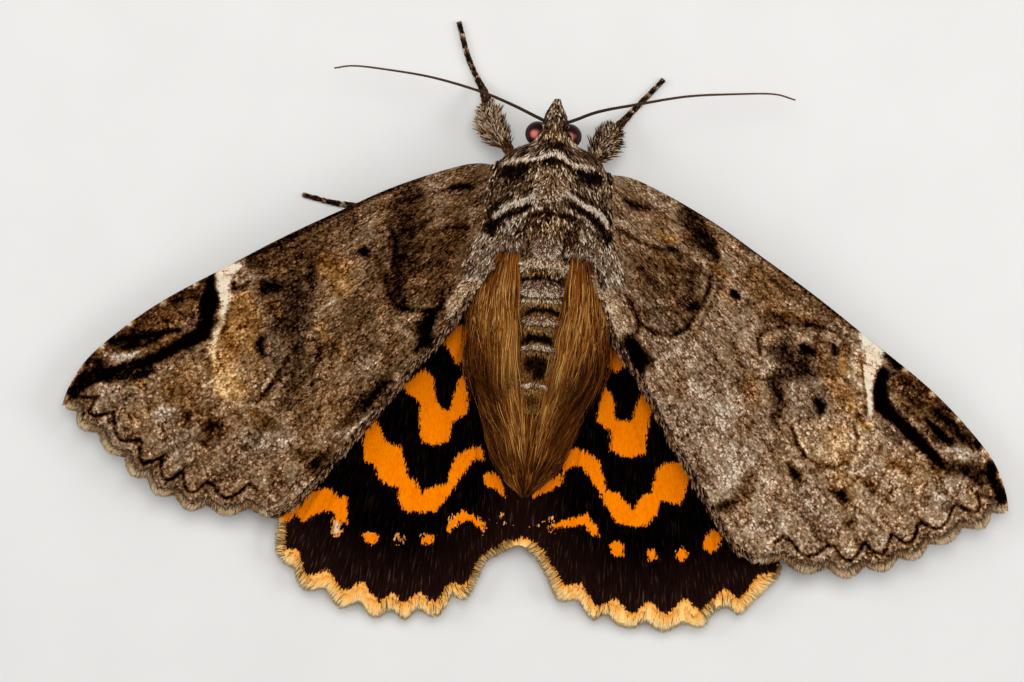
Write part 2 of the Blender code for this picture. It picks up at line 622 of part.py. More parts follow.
def build():
    """All nodes of the moth, hung on one empty over the middle of their footprint."""
    for leftover in list(bpy.data.objects):
        bpy.data.objects.remove(leftover)
    random.seed(4)
    nodes = []
    head = body_node("head", HEAD_FROM, HEAD_TO, 9, GREY_BROWN)
    for side, centre in EYE_CENTRES.items():
        cut(head, add_node("socket", ball(centre, EYE_RADIUS + GAP), BLACK))
        nodes.append(add_node(f"eye_{SIDE_NAMES[side]}", ball(centre, EYE_RADIUS), BLACK, 0.1))
    nodes.append(head)
    collar = body_node("collar", COLLAR_FROM, COLLAR_TO, 5, BROWN)
    fuse(collar, [plate(*sizes) for sizes in COLLAR_PLATES])
    nodes.append(collar)
    thorax = body_node("thorax", THORAX_FROM, THORAX_TO, 9, BROWN)
    fuse(thorax, [plate(*sizes) for sizes in THORAX_PLATES])
    nodes.append(thorax)
    abdomen = body_node("abdomen", ABDOMEN_FROM, ABDOMEN_TO, 20, GOLDEN)
    fuse(abdomen, abdomen_locks() + [plate(*sizes) for sizes in ABDOMEN_CRESTS])
    nodes.append(abdomen)
    for side, route in ANTENNA_ROUTES.items():
        radii = np.linspace(ANTENNA_RADIUS, ANTENNA_TIP_RADIUS, len(route))
        nodes.append(add_node(f"antenna_{SIDE_NAMES[side]}", tube(route, radii, 6, 1.0), BROWN))
        palp = [((x - PALP_MIDDLE) * side + PALP_MIDDLE, y, z) for x, y, z in PALP_ROUTE]
        nodes.append(add_node(f"palp_{SIDE_NAMES[side]}", tube(palp, PALP_RADII, 8, 0.4), GREY_BROWN))
        nodes.append(add_node(f"forewing_{SIDE_NAMES[side]}", wing(*forewing(side), forewing_level),
                              GREY_BROWN))
        nodes.append(add_node(f"hindwing_{SIDE_NAMES[side]}", wing(*hindwing(side), hindwing_level),
                              ORANGE_BLACK))
    for name, route in LEG_ROUTES.items():
        fore = "fore" in name
        radii = FORE_LEG_RADII if fore else LEG_RADII
        leg = add_node(name, tube(route, radii, 6, 0.7, floor=True), BROWN)
        fuse(leg, leg_locks(route, *(FORE_LEG_LOCKS if fore else LEG_SPURS)))
        nodes.append(leg)
    corners = np.array([vertex.co for node in nodes for vertex in node.data.vertices])
    middle = (corners.min(0) + corners.max(0)) / 2
    moth = bpy.data.objects.new("moth", None)
    moth.location = (-middle[0], -middle[1], 0)
    bpy.context.scene.collection.objects.link(moth)
    for node in nodes:
        node.parent = moth
    print("middle of the footprint, mm:", np.round(middle[:2] / MM, 4))


build()
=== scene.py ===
import math
import bpy
import numpy as np
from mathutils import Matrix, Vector


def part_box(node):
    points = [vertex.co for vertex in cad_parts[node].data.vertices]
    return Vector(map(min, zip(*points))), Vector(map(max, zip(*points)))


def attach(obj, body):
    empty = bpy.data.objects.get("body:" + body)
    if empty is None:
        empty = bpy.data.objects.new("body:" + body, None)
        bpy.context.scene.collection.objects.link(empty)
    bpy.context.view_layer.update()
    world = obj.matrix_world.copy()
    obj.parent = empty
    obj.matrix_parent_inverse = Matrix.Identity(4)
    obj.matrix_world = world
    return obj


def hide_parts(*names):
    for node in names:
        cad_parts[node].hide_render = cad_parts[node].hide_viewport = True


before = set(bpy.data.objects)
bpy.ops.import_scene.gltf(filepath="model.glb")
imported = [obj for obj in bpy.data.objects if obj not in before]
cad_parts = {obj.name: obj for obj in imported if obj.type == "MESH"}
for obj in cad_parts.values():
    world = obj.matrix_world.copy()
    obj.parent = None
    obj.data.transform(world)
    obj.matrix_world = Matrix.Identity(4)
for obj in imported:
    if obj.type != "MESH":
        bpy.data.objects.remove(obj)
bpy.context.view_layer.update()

# Floor, lights and camera: a plain pale table, a soft box overhead with one to each side, and a
# camera that looks straight down on the moth with its head at the top of the picture.
# Measures are millimetres from the middle of the thorax, with the head towards -Y and the moth's
# left towards +X. The left eye's node shows where that middle lies in the frame.
MM = 0.001
LEFT_EYE = (1.05, -4.45, 3.50)
MIDDLE = (np.add(*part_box("eye_left")) / 2 - np.array(LEFT_EYE) * MM) * (1, 1, 0)
CAMERA_AIM = (1.58, 8.67, 2.50)
CAMERA_HEIGHT = 177.8
CAMERA_TURN = math.pi + 0.0850
FLOOR_HALF = 1500.0


def placed(points):
    """Millimetres of this file as metres of the frame."""
    return np.asarray(points, float) * MM + MIDDLE


def add_node(tree, kind, inputs=None, **settings):
    """One shader node: settings are its own choices, inputs its sockets' values or what feeds them."""
    made = tree.nodes.new(kind)
    for key, value in settings.items():
        setattr(made, key, value)
    for key, value in (inputs or {}).items():
        if isinstance(value, bpy.types.NodeSocket):
            tree.links.new(value, made.inputs[key])
        else:
            made.inputs[key].default_value = value
    return made


def noise(tree, where, scale, detail, **more):
    """The value socket of a noise texture."""
    inputs = {"Vector": where, "Scale": scale, "Detail": detail, **more}
    return add_node(tree, "ShaderNodeTexNoise", inputs).outputs["Fac"]


def blended(tree, factor, first, second, way="MIX"):
    """The colour socket of a Mix node between two colours, or of another way to join them."""
    inputs = {0: factor, 6: first, 7: second}
    return add_node(tree, "ShaderNodeMix", inputs, data_type="RGBA", blend_type=way).outputs[2]


def new_material(name, roughness, specular=0.5):
    """A material with its tree and its Principled shader."""
    surface = bpy.data.materials.new(name)
    surface.use_nodes = True
    shader = surface.node_tree.nodes["Principled BSDF"]
    shader.inputs["Roughness"].default_value = roughness
    shader.inputs["Specular IOR Level"].default_value = specular
    return surface, surface.node_tree, shader


def coloured(tree, shader, colour):
    """Lead the colour to the shader."""
    tree.links.new(colour, shader.inputs["Base Color"])


floor_mesh = bpy.data.meshes.new("floor")
floor_corners = [(x * FLOOR_HALF, y * FLOOR_HALF, 0) for x, y in ((-1, -1), (1, -1), (1, 1), (-1, 1))]
floor_mesh.from_pydata(placed(floor_corners).tolist(), [], [(0, 1, 2, 3)])
floor = bpy.data.objects.new("floor", floor_mesh)
bpy.context.scene.collection.objects.link(floor)
floor_material, tree, shader = new_material("pale_table", 0.85)
where = add_node(tree, "ShaderNodeTexCoord").outputs["Object"]
cloudy = noise(tree, where, 160.0, 4.0)
coloured(tree, shader, blended(tree, cloudy, (0.80, 0.795, 0.78, 1), (0.86, 0.855, 0.84, 1)))
floor_mesh.materials.append(floor_material)


def soft_box(name, place, aim, size, watts):
    """A square lamp at place, in millimetres, which faces aim."""
    lamp = bpy.data.lights.new(name, "AREA")
    lamp.shape = "SQUARE"
    lamp.size = size * MM
    lamp.energy = watts
    holder = bpy.data.objects.new(name, lamp)
    bpy.context.scene.collection.objects.link(holder)
    start = placed(place)
    holder.location = start
    holder.rotation_euler = Vector(placed(aim) - start).to_track_quat("-Z", "Y").to_euler()


soft_box("overhead", (0, -60, 260), (0, 8, 0), 190, 0.42)
soft_box("left_side", (230, -40, 150), (0, 8, 0), 130, 0.23)
soft_box("right_side", (-230, -20, 150), (0, 8, 0), 130, 0.28)
world = bpy.data.worlds.new("studio")
world.use_nodes = True
world.node_tree.nodes["Background"].inputs["Color"].default_value = (1.0, 0.98, 0.95, 1)
world.node_tree.nodes["Background"].inputs["Strength"].default_value = 0.185
bpy.context.scene.world = world
bpy.context.scene.view_settings.view_transform = "Standard"

camera_lens = bpy.data.cameras.new("camera")
camera_lens.lens = 100
camera_lens.sensor_width = 36
camera_lens.clip_start = 0.005
camera = bpy.data.objects.new("camera", camera_lens)
bpy.context.scene.collection.objects.link(camera)
camera.location = placed(CAMERA_AIM) + (0, 0, CAMERA_HEIGHT * MM)
camera.rotation_euler = (0, 0, CAMERA_TURN)
bpy.context.scene.camera = camera


# Forewings: two stiff membranes spread flat, clothed in flat overlapping scales of black, brown,
# grey, ochre and cream whose mixture draws the pattern. Their base goes in under the thorax.
LEFT = 1
RIGHT = -1
SIDE_NAMES = {LEFT: "left", RIGHT: "right"}
FOREWING_BASE = (3.60, -2.10)
FOREWING_ENDS = {LEFT: ((29.40, 15.10), (15.60, 21.00)), RIGHT: ((30.40, 16.70), (14.70, 21.30))}
FOREWING_APEX = (26.30, 18.00)
FOREWING_TORNUS = (11.55, 23.25)
FOREWING_COSTA = ((-1.6, 0.3), (0.90, 0.02), (3.40, 0.80), (6.60, 2.25), (9.10, 3.65), (13.00, 5.90),
                  (16.90, 8.40), (19.90, 10.35), (22.00, 11.95), (24.00, 13.80), (25.20, 15.20),
                  (26.00, 16.80), FOREWING_APEX)
FOREWING_LOBES = (FOREWING_APEX, (25.00, 19.25), (23.00, 20.45), (21.20, 21.75), (19.40, 22.75),
                  (17.15, 23.50), (14.60, 23.50), FOREWING_TORNUS)
FOREWING_INNER = ((-2.4, 6.0), (-0.70, 6.50), (0.00, 7.50), (0.70, 8.90), (1.45, 10.40),
                  (3.55, 13.10), (5.00, 15.30), (6.90, 18.00), (8.60, 20.40), (10.20, 22.40),
                  FOREWING_TORNUS)
FOREWING_VEINS = (
    ((0.4, 1), (8, 3.9), (13.5, 7.1), (17.6, 9.2)),
    ((9, 6.8), (14.5, 8.9), (19.6, 10.8)),
    ((13, 9.25), (18, 11.1), (22.3, 12.8)),
    ((16, 11.2), (20.5, 12.9), (24.4, 15)),
    ((0.3, 2), (9, 6.8), (16, 11.2), (21.5, 14.4), (25.6, 17.4)),
    ((16, 11.2), (20.4, 15.5), (24.4, 18.8)),
    ((13.2, 15.6), (18.4, 17.8), (22.5, 19.9)),
    ((13.2, 15.6), (17.2, 18.8), (20.7, 21.2)),
    ((0.2, 3.1), (7, 10), (13.2, 15.6), (15.8, 19), (19, 22.2)),
    ((9.3, 12.2), (13.2, 18.4), (16.9, 22.9)),
    ((0, 4.6), (3.9, 11.8), (8.2, 18.2), (11.6, 22.4)),
)
FOREWING_ROWS = 205
FOREWING_COLUMNS = 134
FOREWING_FADE = 14
MEMBRANE_THICKNESS = 0.16
# Height and half width of the ridge over a vein, and how far the sheet between lies lower for it.
FOREWING_VEIN = (0.13, 0.16)
VEIN_SINK = 0.03
FRINGE_DEPTH = 0.40
SCALLOP_DEPTH = 0.55
# The rows of scales fan out from a point so far inside the wing's base.
SCALE_FAN = 17.0 * np.array((0.80, 0.60))
# Marks of the forewings: path of x, y and half width, softness of the rim, then the lightness and
# warmth of the scales there and how fully they cover. Later marks lie over earlier ones.
FOREWING_MARKS = {LEFT: (
    (((4.6, -1.2, 0.9), (4.6, 2, 0.8)), 0.8, 0.46, 0.2, 0.8),
    (((6.2, 2.6, 1.6), (7.4, 4.8, 1.9), (6.6, 6.2, 1)), 1, 0.36, 0.4, 0.9),
    (((8.8, 0.6, 1), (8.7, 2.6, 0.8), (8.6, 4.4, 0.6)), 0.7, 0.25, 0.2, 0.9),
    (((8.9, 4, 0.3), (9, 5.6, 0.35), (8.6, 6.8, 0.3)), 0.3, 0.13, 0.2, 0.85),
    (((6.9, 5, 0.5), (7.3, 6, 0.4)), 0.5, 0.43, 0.5, 0.7),
    (((7.2, -1.1, 0.4), (7, 0.3, 0.5), (6.8, 1.5, 0.4)), 0.45, 0.6, 0.15, 0.85),
    (((4.9, -0.6, 0.14), (6, -0.5, 0.12)), 0.2, 0.04, 0.1, 0.9),
    (((5, 1.9, 0.12), (6.3, 2.05, 0.13)), 0.2, 0.04, 0.1, 0.9),
    (((4.6, 1.2, 0.2), (4.5, 2.6, 0.25)), 0.3, 0.68, 0.1, 0.7),
    (((3.5, 3.7, 0.6), (4.6, 5.6, 0.75), (5.3, 7, 0.7)), 0.25, 0.68, 0.25, 0.95),
    (((6.1, 5.4, 0.12), (6.2, 6.6, 0.16), (5.9, 7.6, 0.12)), 0.2, 0.14, 0.1, 0.8),
    (((9.8, 2.1, 0.1), (9.25, 3, 0.1), (9.35, 4.6, 0.11), (9.75, 5.4, 0.11), (9.5, 6.4, 0.1),
     (8.9, 7.1, 0.11), (7.8, 7.3, 0.12), (6.7, 7.25, 0.13)), 0.14, 0.06, 0.2, 0.85),
    (((10.1, 3.6, 0.06), (10.05, 5.3, 0.08), (9.5, 6.9, 0.07), (8.7, 7.6, 0.07)), 0.14, 0.22, 0.3, 0.7),
    (((9.6, 5, 0.1), (9.7, 4.5, 0.12)), 0.12, 0.66, -0.1, 0.7),
    (((6.6, 7.3, 0.3), (7, 8.3, 0.55), (6.7, 9.3, 0.35)), 0.25, 0.08, 0.1, 0.95),
    (((6.3, 7.9, 0.12), (6.4, 8.8, 0.1)), 0.15, 0.5, 0, 0.7),
    (((7, 9.2, 0.2), (7.5, 9.7, 0.25)), 0.2, 0.04, 0.1, 0.95),
    (((7.5, 7.5, 0.2), (8.3, 8, 0.2)), 0.2, 0.62, 0.4, 0.7),
    (((10.6, 1.3, 0.7), (10.9, 3, 0.5)), 0.6, 0.54, 0.15, 0.8),
    (((10.3, 2.2, 0.3),), 0.3, 0.44, 0.8, 0.7),
    (((11.95, 2, 0.15), (12, 2.9, 0.12)), 0.2, 0.25, 0.1, 0.7),
    (((12.9, 2.7, 0.8), (14, 3.6, 0.7)), 0.6, 0.44, 0.25, 0.8),
    (((11.15, 3.95, 0.25), (11.35, 3.9, 0.2)), 0.15, 0.02, 0.1, 1),
    (((10.4, 4.6, 0.3), (10.9, 6.4, 0.5)), 0.5, 0.42, 0.25, 0.8),
    (((13.6, 4.8, 0.6), (12.8, 5.2, 0.8), (12.3, 6.2, 0.5)), 0.5, 0.54, 1.15, 0.95),
    (((12.4, 5.6, 0.12), (12.3, 6.3, 0.15)), 0.15, 0.76, 1, 0.8),
    (((14.5, 4.6, 0.2), (14.4, 5.6, 0.2), (14.3, 6.4, 0.2)), 0.2, 0.12, 0.4, 0.85),
    (((15.7, 4.6, 1), (17.4, 5.2, 0.6)), 0.5, 0.28, 0.35, 0.9),
    (((15.4, 7.2, 1.1), (14.9, 8.4, 0.7), (15.8, 9, 0.8)), 0.6, 0.28, -0.05, 0.95),
    (((16.4, 6.5, 0.25), (17.1, 6.6, 0.35)), 0.25, 0.06, 0, 0.95),
    (((15.9, 8.9, 0.2), (14.5, 8.9, 0.2)), 0.3, 0.14, 0, 0.8),
    (((16.7, 7.7, 0.35), (16.3, 8.2, 0.25)), 0.25, 0.44, 0.8, 0.9),
    (((17.9, 6, 0.1), (17, 6.1, 0.08)), 0.15, 0.56, -0.1, 0.7),
    (((13.9, 8.15, 0.09), (13.4, 7.5, 0.09), (12.8, 7.1, 0.08)), 0.12, 0.78, 0.1, 0.8),
    (((14.1, 6.2, 0.07), (13.8, 6.8, 0.08), (13.4, 7.1, 0.07)), 0.12, 0.66, 0.7, 0.8),
    (((13.5, 8.8, 0.45), (13, 9.5, 0.3)), 0.3, 0.56, 0.9, 0.9),
    (((12, 10.1, 0.35), (11.8, 10.5, 0.3)), 0.3, 0.52, 0.85, 0.8),
    (((11.2, 7.4, 0.8), (11, 9, 0.9)), 0.6, 0.42, 0.3, 0.85),
    (((9.6, 9.2, 0.5), (9, 11.2, 0.6)), 0.6, 0.5, 0.15, 0.8),
    (((13.6, 10, 0.1), (13.4, 10.8, 0.08), (13.9, 11.6, 0.09), (13.7, 12.4, 0.1)), 0.15, 0.14, 0.4, 0.8),
    (((12.3, 9.6, 0.08), (12.8, 10.8, 0.1), (12.3, 12.4, 0.1), (11.4, 14.2, 0.1)), 0.2, 0.26, 0.4, 0.6),
    (((15.2, 9.8, 0.5), (14.7, 11.4, 0.5), (15.1, 13.4, 0.6)), 0.5, 0.33, 0.1, 0.85),
    (((12.7, 13, 0.6), (12.9, 14.4, 0.6)), 0.6, 0.5, 0.6, 0.7),
    (((14.6, 12.6, 0.3), (14, 14.6, 0.4), (13.6, 16.6, 0.4)), 0.5, 0.36, 0.6, 0.7),
    (((15.4, 11, 0.09), (16, 12, 0.1), (16.6, 13.1, 0.11), (17.1, 13.8, 0.08)), 0.12, 0.04, 0.2, 0.95),
    (((15.75, 11.1, 0.07), (16.3, 12, 0.1), (16.9, 13.1, 0.1)), 0.12, 0.7, 0, 0.85),
    (((15.6, 12.4, 0.07), (16.1, 13.3, 0.08)), 0.12, 0.62, 0, 0.6),
    (((18.6, 7.4, 0.5), (18.4, 9, 1.2), (18.6, 11.2, 1.4), (18.6, 12.8, 1.1)), 0.4, 0.53, 1, 0.95),
    (((17.9, 11.6, 0.8), (17.5, 12.8, 0.5)), 0.5, 0.52, 0.45, 0.85),
    (((18.4, 7.6, 0.45), (19, 7.8, 0.3)), 0.3, 0.66, 0.9, 0.9),
    (((17.9, 8.9, 0.5), (17.8, 9.6, 0.4)), 0.4, 0.44, 0.9, 0.8),
    (((19.3, 9.9, 0.4), (18.6, 10.6, 0.3)), 0.3, 0.44, 1.15, 0.8),
    (((19, 12.3, 0.4), (18.3, 13.2, 0.35)), 0.3, 0.66, 1.1, 0.85),
    (((19.9, 12, 0.2), (19.8, 12.9, 0.25), (19.3, 13.5, 0.3)), 0.25, 0.68, 1.15, 0.9),
    (((20.15, 10.3, 0.12), (20.2, 10.9, 0.14), (20, 11.6, 0.1)), 0.14, 0.84, 0.9, 0.95),
    (((18.4, 6.3, 0.3), (19.1, 6.4, 0.25)), 0.2, 0.66, 0.1, 0.8),
    (((18.3, 6.4, 0.08), (18.7, 6.9, 0.08), (19.2, 6.9, 0.1), (19.2, 6.4, 0.08)), 0.1, 0.08, 0.2, 0.85),
    (((17.15, 9.8, 0.2), (17.2, 10.3, 0.35), (17, 10.9, 0.15)), 0.2, 0.05, 0, 0.95),
    (((16.3, 9.9, 0.35), (16.2, 11, 0.4)), 0.4, 0.44, -0.2, 0.85),
    (((18.9, 13.9, 0.1), (18.2, 14.2, 0.1), (17.4, 14.1, 0.1)), 0.15, 0.8, 0.6, 0.8),
    (((21.2, 12.4, 0.8), (21.3, 13.8, 0.7)), 0.7, 0.46, 0.75, 0.85),
    (((22.6, 13.4, 0.6), (22.4, 14, 0.3)), 0.4, 0.38, 0.95, 0.85),
    (((24.7, 13.2, 0.35),), 0.25, 0.46, 1.1, 0.85),
    (((21.7, 14.6, 0.4), (20.6, 14.9, 0.5)), 0.5, 0.45, 0.7, 0.8),
    (((21.35, 15, 0.16), (21.4, 15.4, 0.14)), 0.15, 0.16, 1.2, 0.9),
    (((26.2, 14.2, 0.8), (24.6, 14.2, 0.4)), 0.5, 0.55, 0, 0.85),
    (((27.4, 14.6, 0.4), (26.9, 15.4, 0.4)), 0.4, 0.56, 0.1, 0.7),
    (((24.6, 15.5, 0.5), (24.2, 16, 0.4)), 0.4, 0.54, 0.45, 0.8),
    (((22.9, 15.2, 0.5), (22.4, 15, 0.3)), 0.4, 0.6, -0.3, 0.85),
    (((18.9, 15, 0.8), (17.6, 14.8, 0.6)), 0.6, 0.5, 0.5, 0.8),
    (((19.4, 15.3, 0.25), (20, 15.5, 0.45), (19.5, 16, 0.25)), 0.3, 0.2, 0.6, 0.9),
    (((20.3, 16.7, 0.12), (19.8, 16.3, 0.15)), 0.15, 0.06, 0.3, 0.9),
    (((17.3, 14.5, 0.15), (16.6, 15, 0.35), (15.9, 15.4, 0.25)), 0.3, 0.2, 0.8, 0.9),
    (((21.2, 16.6, 0.6), (22.4, 17.2, 0.7)), 0.6, 0.52, -0.2, 0.8),
    (((17.2, 16.3, 0.8), (15.6, 16.2, 0.9)), 0.6, 0.54, -0.15, 0.85),
    (((19.4, 18.2, 0.9), (17.6, 17.6, 0.8)), 0.7, 0.46, 0.2, 0.8),
    (((24.8, 17.6, 0.5), (26.6, 16.4, 0.4)), 0.5, 0.58, 0.25, 0.8),
    (((14.2, 18.2, 0.6), (13.6, 19, 0.4)), 0.5, 0.58, -0.05, 0.8),
    (((14.4, 16.8, 0.3), (13.4, 16.9, 0.3)), 0.4, 0.22, 0.6, 0.7),
    (((10.6, 10.8, 0.6), (10, 12, 0.4)), 0.5, 0.56, 0, 0.8),
    (((10.4, 12.6, 0.35), (11.2, 14.2, 0.35), (12.2, 15.6, 0.25)), 0.3, 0.22, 0.1, 0.75),
    (((9.4, 12, 0.4), (10.4, 13.6, 0.3)), 0.25, 0.14, 0.1, 0.8),
    (((10.3, 12.1, 0.07), (10.9, 12.9, 0.08)), 0.1, 0.74, 0.1, 0.8),
    (((8.6, 12.6, 0.07), (9.6, 13.6, 0.09), (11.4, 15.4, 0.1)), 0.1, 0.88, -0.1, 0.8),
    (((11.3, 15.2, 0.3), (12.2, 15.4, 0.2)), 0.25, 0.72, -0.1, 0.8),
    (((12.4, 16.6, 0.3), (13.2, 17.6, 0.35)), 0.3, 0.12, 0.5, 0.85),
    (((7.9, 9.3, 0.35), (8.6, 8.4, 0.3)), 0.35, 0.56, 0.1, 0.8),
    (((7.8, 10.7, 0.3), (8.3, 11.6, 0.25)), 0.3, 0.58, 0, 0.7),
    (((8, -1, 0.1), (12, 1, 0.16), (16, 3.5, 0.2), (18.3, 4.8, 0.2)), 0.2, 0.08, 0.3, 0.85),
    (((21.1, 6.5, 0.3), (23.4, 8.7, 0.8), (25.4, 10.3, 0.75), (27.2, 11.9, 0.5)), 0.4, 0.22, 0.6, 0.9),
    (((21.7, 8.1, 0.3), (23, 9, 0.55), (24.6, 9.9, 0.35)), 0.35, 0.43, 0.75, 0.9),
    (((22.3, 9.9, 0.15), (23.6, 10.7, 0.25), (24.6, 11.4, 0.12)), 0.2, 0.42, 0.8, 0.9),
    (((20.55, 6.6, 0.3), (20.6, 7.7, 0.55), (20.7, 8.7, 0.45), (20.9, 9.8, 0.45), (22.4, 10.8, 0.36),
     (23.4, 11.5, 0.38), (24.8, 12.1, 0.34), (26.2, 12.6, 0.3), (27.4, 12.9, 0.3)), 0.16, 0, 0.1, 1),
    (((20.3, 9, 0.12), (21, 9, 0.12)), 0.15, 0.26, 0.5, 0.8),
    (((23.4, 10.2, 0.12), (24.6, 10.9, 0.2), (25.8, 11.1, 0.15)), 0.18, 0.05, 0.3, 0.9),
    (((26.6, 10.8, 0.1), (26, 11.2, 0.12)), 0.15, 0.06, 0.3, 0.8),
    (((24.9, 11.55, 0.15), (26, 11.75, 0.35), (27, 11.7, 0.2)), 0.2, 0.66, 0, 0.95),
    (((25.4, 12.3, 0.2), (25.6, 12.9, 0.15)), 0.2, 0.5, 0, 0.7),
    (((27.3, 12.4, 0.45), (27.7, 13.2, 0.3)), 0.25, 0.1, 0.4, 0.95),
    (((28.2, 13.5, 0.3), (28.8, 14.3, 0.25)), 0.25, 0.2, 0.7, 0.95),
    (((28.5, 12.8, 0.16), (28.9, 13.6, 0.12)), 0.12, 0.8, 0.9, 0.95),
    (((28.7, 14.55, 0.08), (27.9, 14.4, 0.07)), 0.1, 0.04, 0.1, 0.9),
    (((18.9, 5.45, 0.22), (19.8, 5.9, 0.52), (19.9, 6.7, 0.45), (19.6, 7.6, 0.3), (19.65, 8.6, 0.2)), 0.16,
     0.97, 0.25, 1),
    (((19.6, 8.8, 0.14), (20, 9.7, 0.16), (20.1, 10.2, 0.1)), 0.14, 0.92, 0.6, 0.95),
    (((19.45, 8.3, 0.05), (19.5, 9, 0.07), (19.7, 9.7, 0.06)), 0.08, 0.15, 0.6, 0.85),
    (((20.9, 6.9, 0.15), (21, 8, 0.1)), 0.15, 0.2, 0.9, 0.5),
    (((26.6, 10.8, 0.22), (25.2, 10.5, 0.28), (24.2, 10.1, 0.2), (22.4, 9.8, 0.15)), 0.15, 0.03, 0.1, 0.9),
    (((27, 13.15, 0.25), (25, 12.9, 0.28), (24, 12.4, 0.28)), 0.15, 0.05, 0.1, 0.9),
    (((27.4, 13, 0.45), (28.2, 13.4, 0.5), (28.8, 14.2, 0.3)), 0.12, 0.03, 0.1, 0.95),
    (((27.8, 12, 0.2), (28.4, 12.8, 0.15)), 0.12, 0.05, 0.2, 0.9),
    (((28.75, 12.95, 0.09), (29.05, 13.7, 0.09)), 0.08, 0.74, 0.6, 0.9),
), RIGHT: (
    (((4.8, -0.9, 1), (6.4, 0.4, 1.2), (5, 3.2, 1)), 0.8, 0.57, 0.25, 0.85),
    (((8.8, -0.4, 0.7), (9.5, 1.2, 0.8), (10.2, 2.1, 0.4)), 0.4, 0.2, 0.15, 0.95),
    (((10.3, 1.6, 0.2), (10.6, 2.4, 0.25)), 0.2, 0.05, 0.1, 0.9),
    (((7.1, 3.6, 1.6), (7.6, 5.6, 1.7)), 0.8, 0.41, 0.3, 0.92),
    (((7.7, 3, 0.4), (8.2, 3.4, 0.4)), 0.4, 0.34, 0.7, 0.8),
    (((9.2, 3.6, 0.4), (9.2, 5, 0.4), (8.7, 5.6, 0.3)), 0.35, 0.26, 0.15, 0.85),
    (((9.3, 5.7, 0.22), (9.6, 5.4, 0.18)), 0.2, 0.05, 0.1, 0.9),
    (((7.3, 6.4, 0.7), (6.6, 5.4, 0.5)), 0.5, 0.5, -0.05, 0.8),
    (((7, 1.3, 0.2), (7.8, 1.6, 0.22)), 0.25, 0.58, 1.2, 0.95),
    (((6.8, 0.5, 0.3),), 0.3, 0.42, 0.7, 0.7),
    (((4.6, -0.6, 0.1), (5.2, -0.3, 0.15), (6, -0.2, 0.1)), 0.15, 0.05, 0.2, 0.9),
    (((4.3, 1.2, 0.07), (5.6, 1.85, 0.09), (7, 2.2, 0.09), (8.1, 2.2, 0.08)), 0.12, 0.08, 0.3, 0.85),
    (((3.5, 4.6, 0.6), (4.4, 6.2, 0.75), (5.2, 7.2, 0.6)), 0.25, 0.7, 0.3, 0.95),
    (((5.2, 5.2, 0.08), (6, 6.4, 0.12), (6.2, 7.4, 0.15)), 0.15, 0.12, 0.3, 0.85),
    (((10.4, 3, 0.07), (10.25, 4.6, 0.09), (9.9, 5.6, 0.1), (9.2, 6.9, 0.1), (8.3, 7.55, 0.1),
     (7.1, 7.4, 0.1), (6.3, 6.9, 0.1)), 0.12, 0.07, 0.4, 0.88),
    (((11, 4.2, 0.05), (10.3, 5.9, 0.07), (9.9, 7.1, 0.07), (9.2, 7.8, 0.07)), 0.12, 0.24, 0.4, 0.7),
    (((10.7, 3, 0.4), (11.2, 3.5, 0.3)), 0.35, 0.44, 0.95, 0.85),
    (((11.2, 1.4, 0.6), (12.2, 2.2, 0.5)), 0.5, 0.62, 0.4, 0.85),
    (((10.9, 5.6, 0.6), (11.6, 6.6, 0.8)), 0.6, 0.54, 0.15, 0.8),
    (((11.4, 4.6, 0.4), (11.9, 5.2, 0.3)), 0.3, 0.54, 0.7, 0.8),
    (((11.85, 4.55, 0.22), (12.1, 4.75, 0.16)), 0.13, 0.02, 0.1, 1),
    (((13.2, 3.6, 1), (14.4, 4.8, 1.2)), 0.7, 0.5, 0.6, 0.9),
    (((12.9, 2.9, 0.14), (12.7, 3.6, 0.1)), 0.2, 0.22, 0.6, 0.7),
    (((15.2, 3.5, 0.5), (16.6, 4.4, 0.5), (18.6, 5.4, 0.4)), 0.5, 0.38, 0.4, 0.85),
    (((14.4, 5.6, 0.25), (15.8, 5.7, 0.3), (17.6, 6.1, 0.25)), 0.3, 0.3, 0.85, 0.85),
    (((16, 6.1, 0.06), (17.4, 6.1, 0.08), (18.8, 6.5, 0.06)), 0.1, 0.05, 0.3, 0.8),
    (((14.2, 7.2, 0.16), (14.7, 7.1, 0.26), (15, 6.9, 0.12)), 0.12, 0.8, 0.85, 0.95),
    (((15.6, 6.2, 0.06), (14.9, 6.4, 0.08), (14, 6.7, 0.08), (13.65, 7.3, 0.09), (13.9, 8.1, 0.09)), 0.1,
     0.1, 0.7, 0.9),
    (((13.5, 8.3, 0.25), (13.7, 8.6, 0.25)), 0.2, 0.6, 0.6, 0.8),
    (((15.2, 7.8, 0.7), (16.4, 8.8, 0.9), (15.6, 9.2, 0.6)), 0.5, 0.27, -0.1, 0.95),
    (((16.6, 7.6, 0.28), (17.3, 7.7, 0.28)), 0.2, 0.04, 0, 0.95),
    (((16.7, 8.6, 0.3), (17, 9.1, 0.2)), 0.2, 0.12, -0.1, 0.8),
    (((14.1, 8.4, 0.12), (14.6, 8.9, 0.1)), 0.15, 0.66, -0.1, 0.7),
    (((17.7, 7.6, 0.5), (17.9, 8.6, 0.5)), 0.4, 0.45, 0.6, 0.85),
    (((18.4, 7.2, 0.12), (18.6, 7.7, 0.18)), 0.15, 0.06, 0.2, 0.9),
    (((19.2, 7.2, 0.3),), 0.25, 0.26, 0.7, 0.85),
    (((18.7, 9.6, 0.6), (19.4, 10.2, 0.7), (20.1, 11.1, 0.45)), 0.5, 0.52, 0.95, 0.9),
    (((19.1, 7.8, 0.2), (19.2, 8.6, 0.3)), 0.2, 0.66, 1.2, 0.95),
    (((18, 9, 0.25), (18.7, 9, 0.2)), 0.3, 0.38, 0.7, 0.7),
    (((17.2, 10.6, 0.9), (17.6, 12, 0.7)), 0.6, 0.52, -0.1, 0.9),
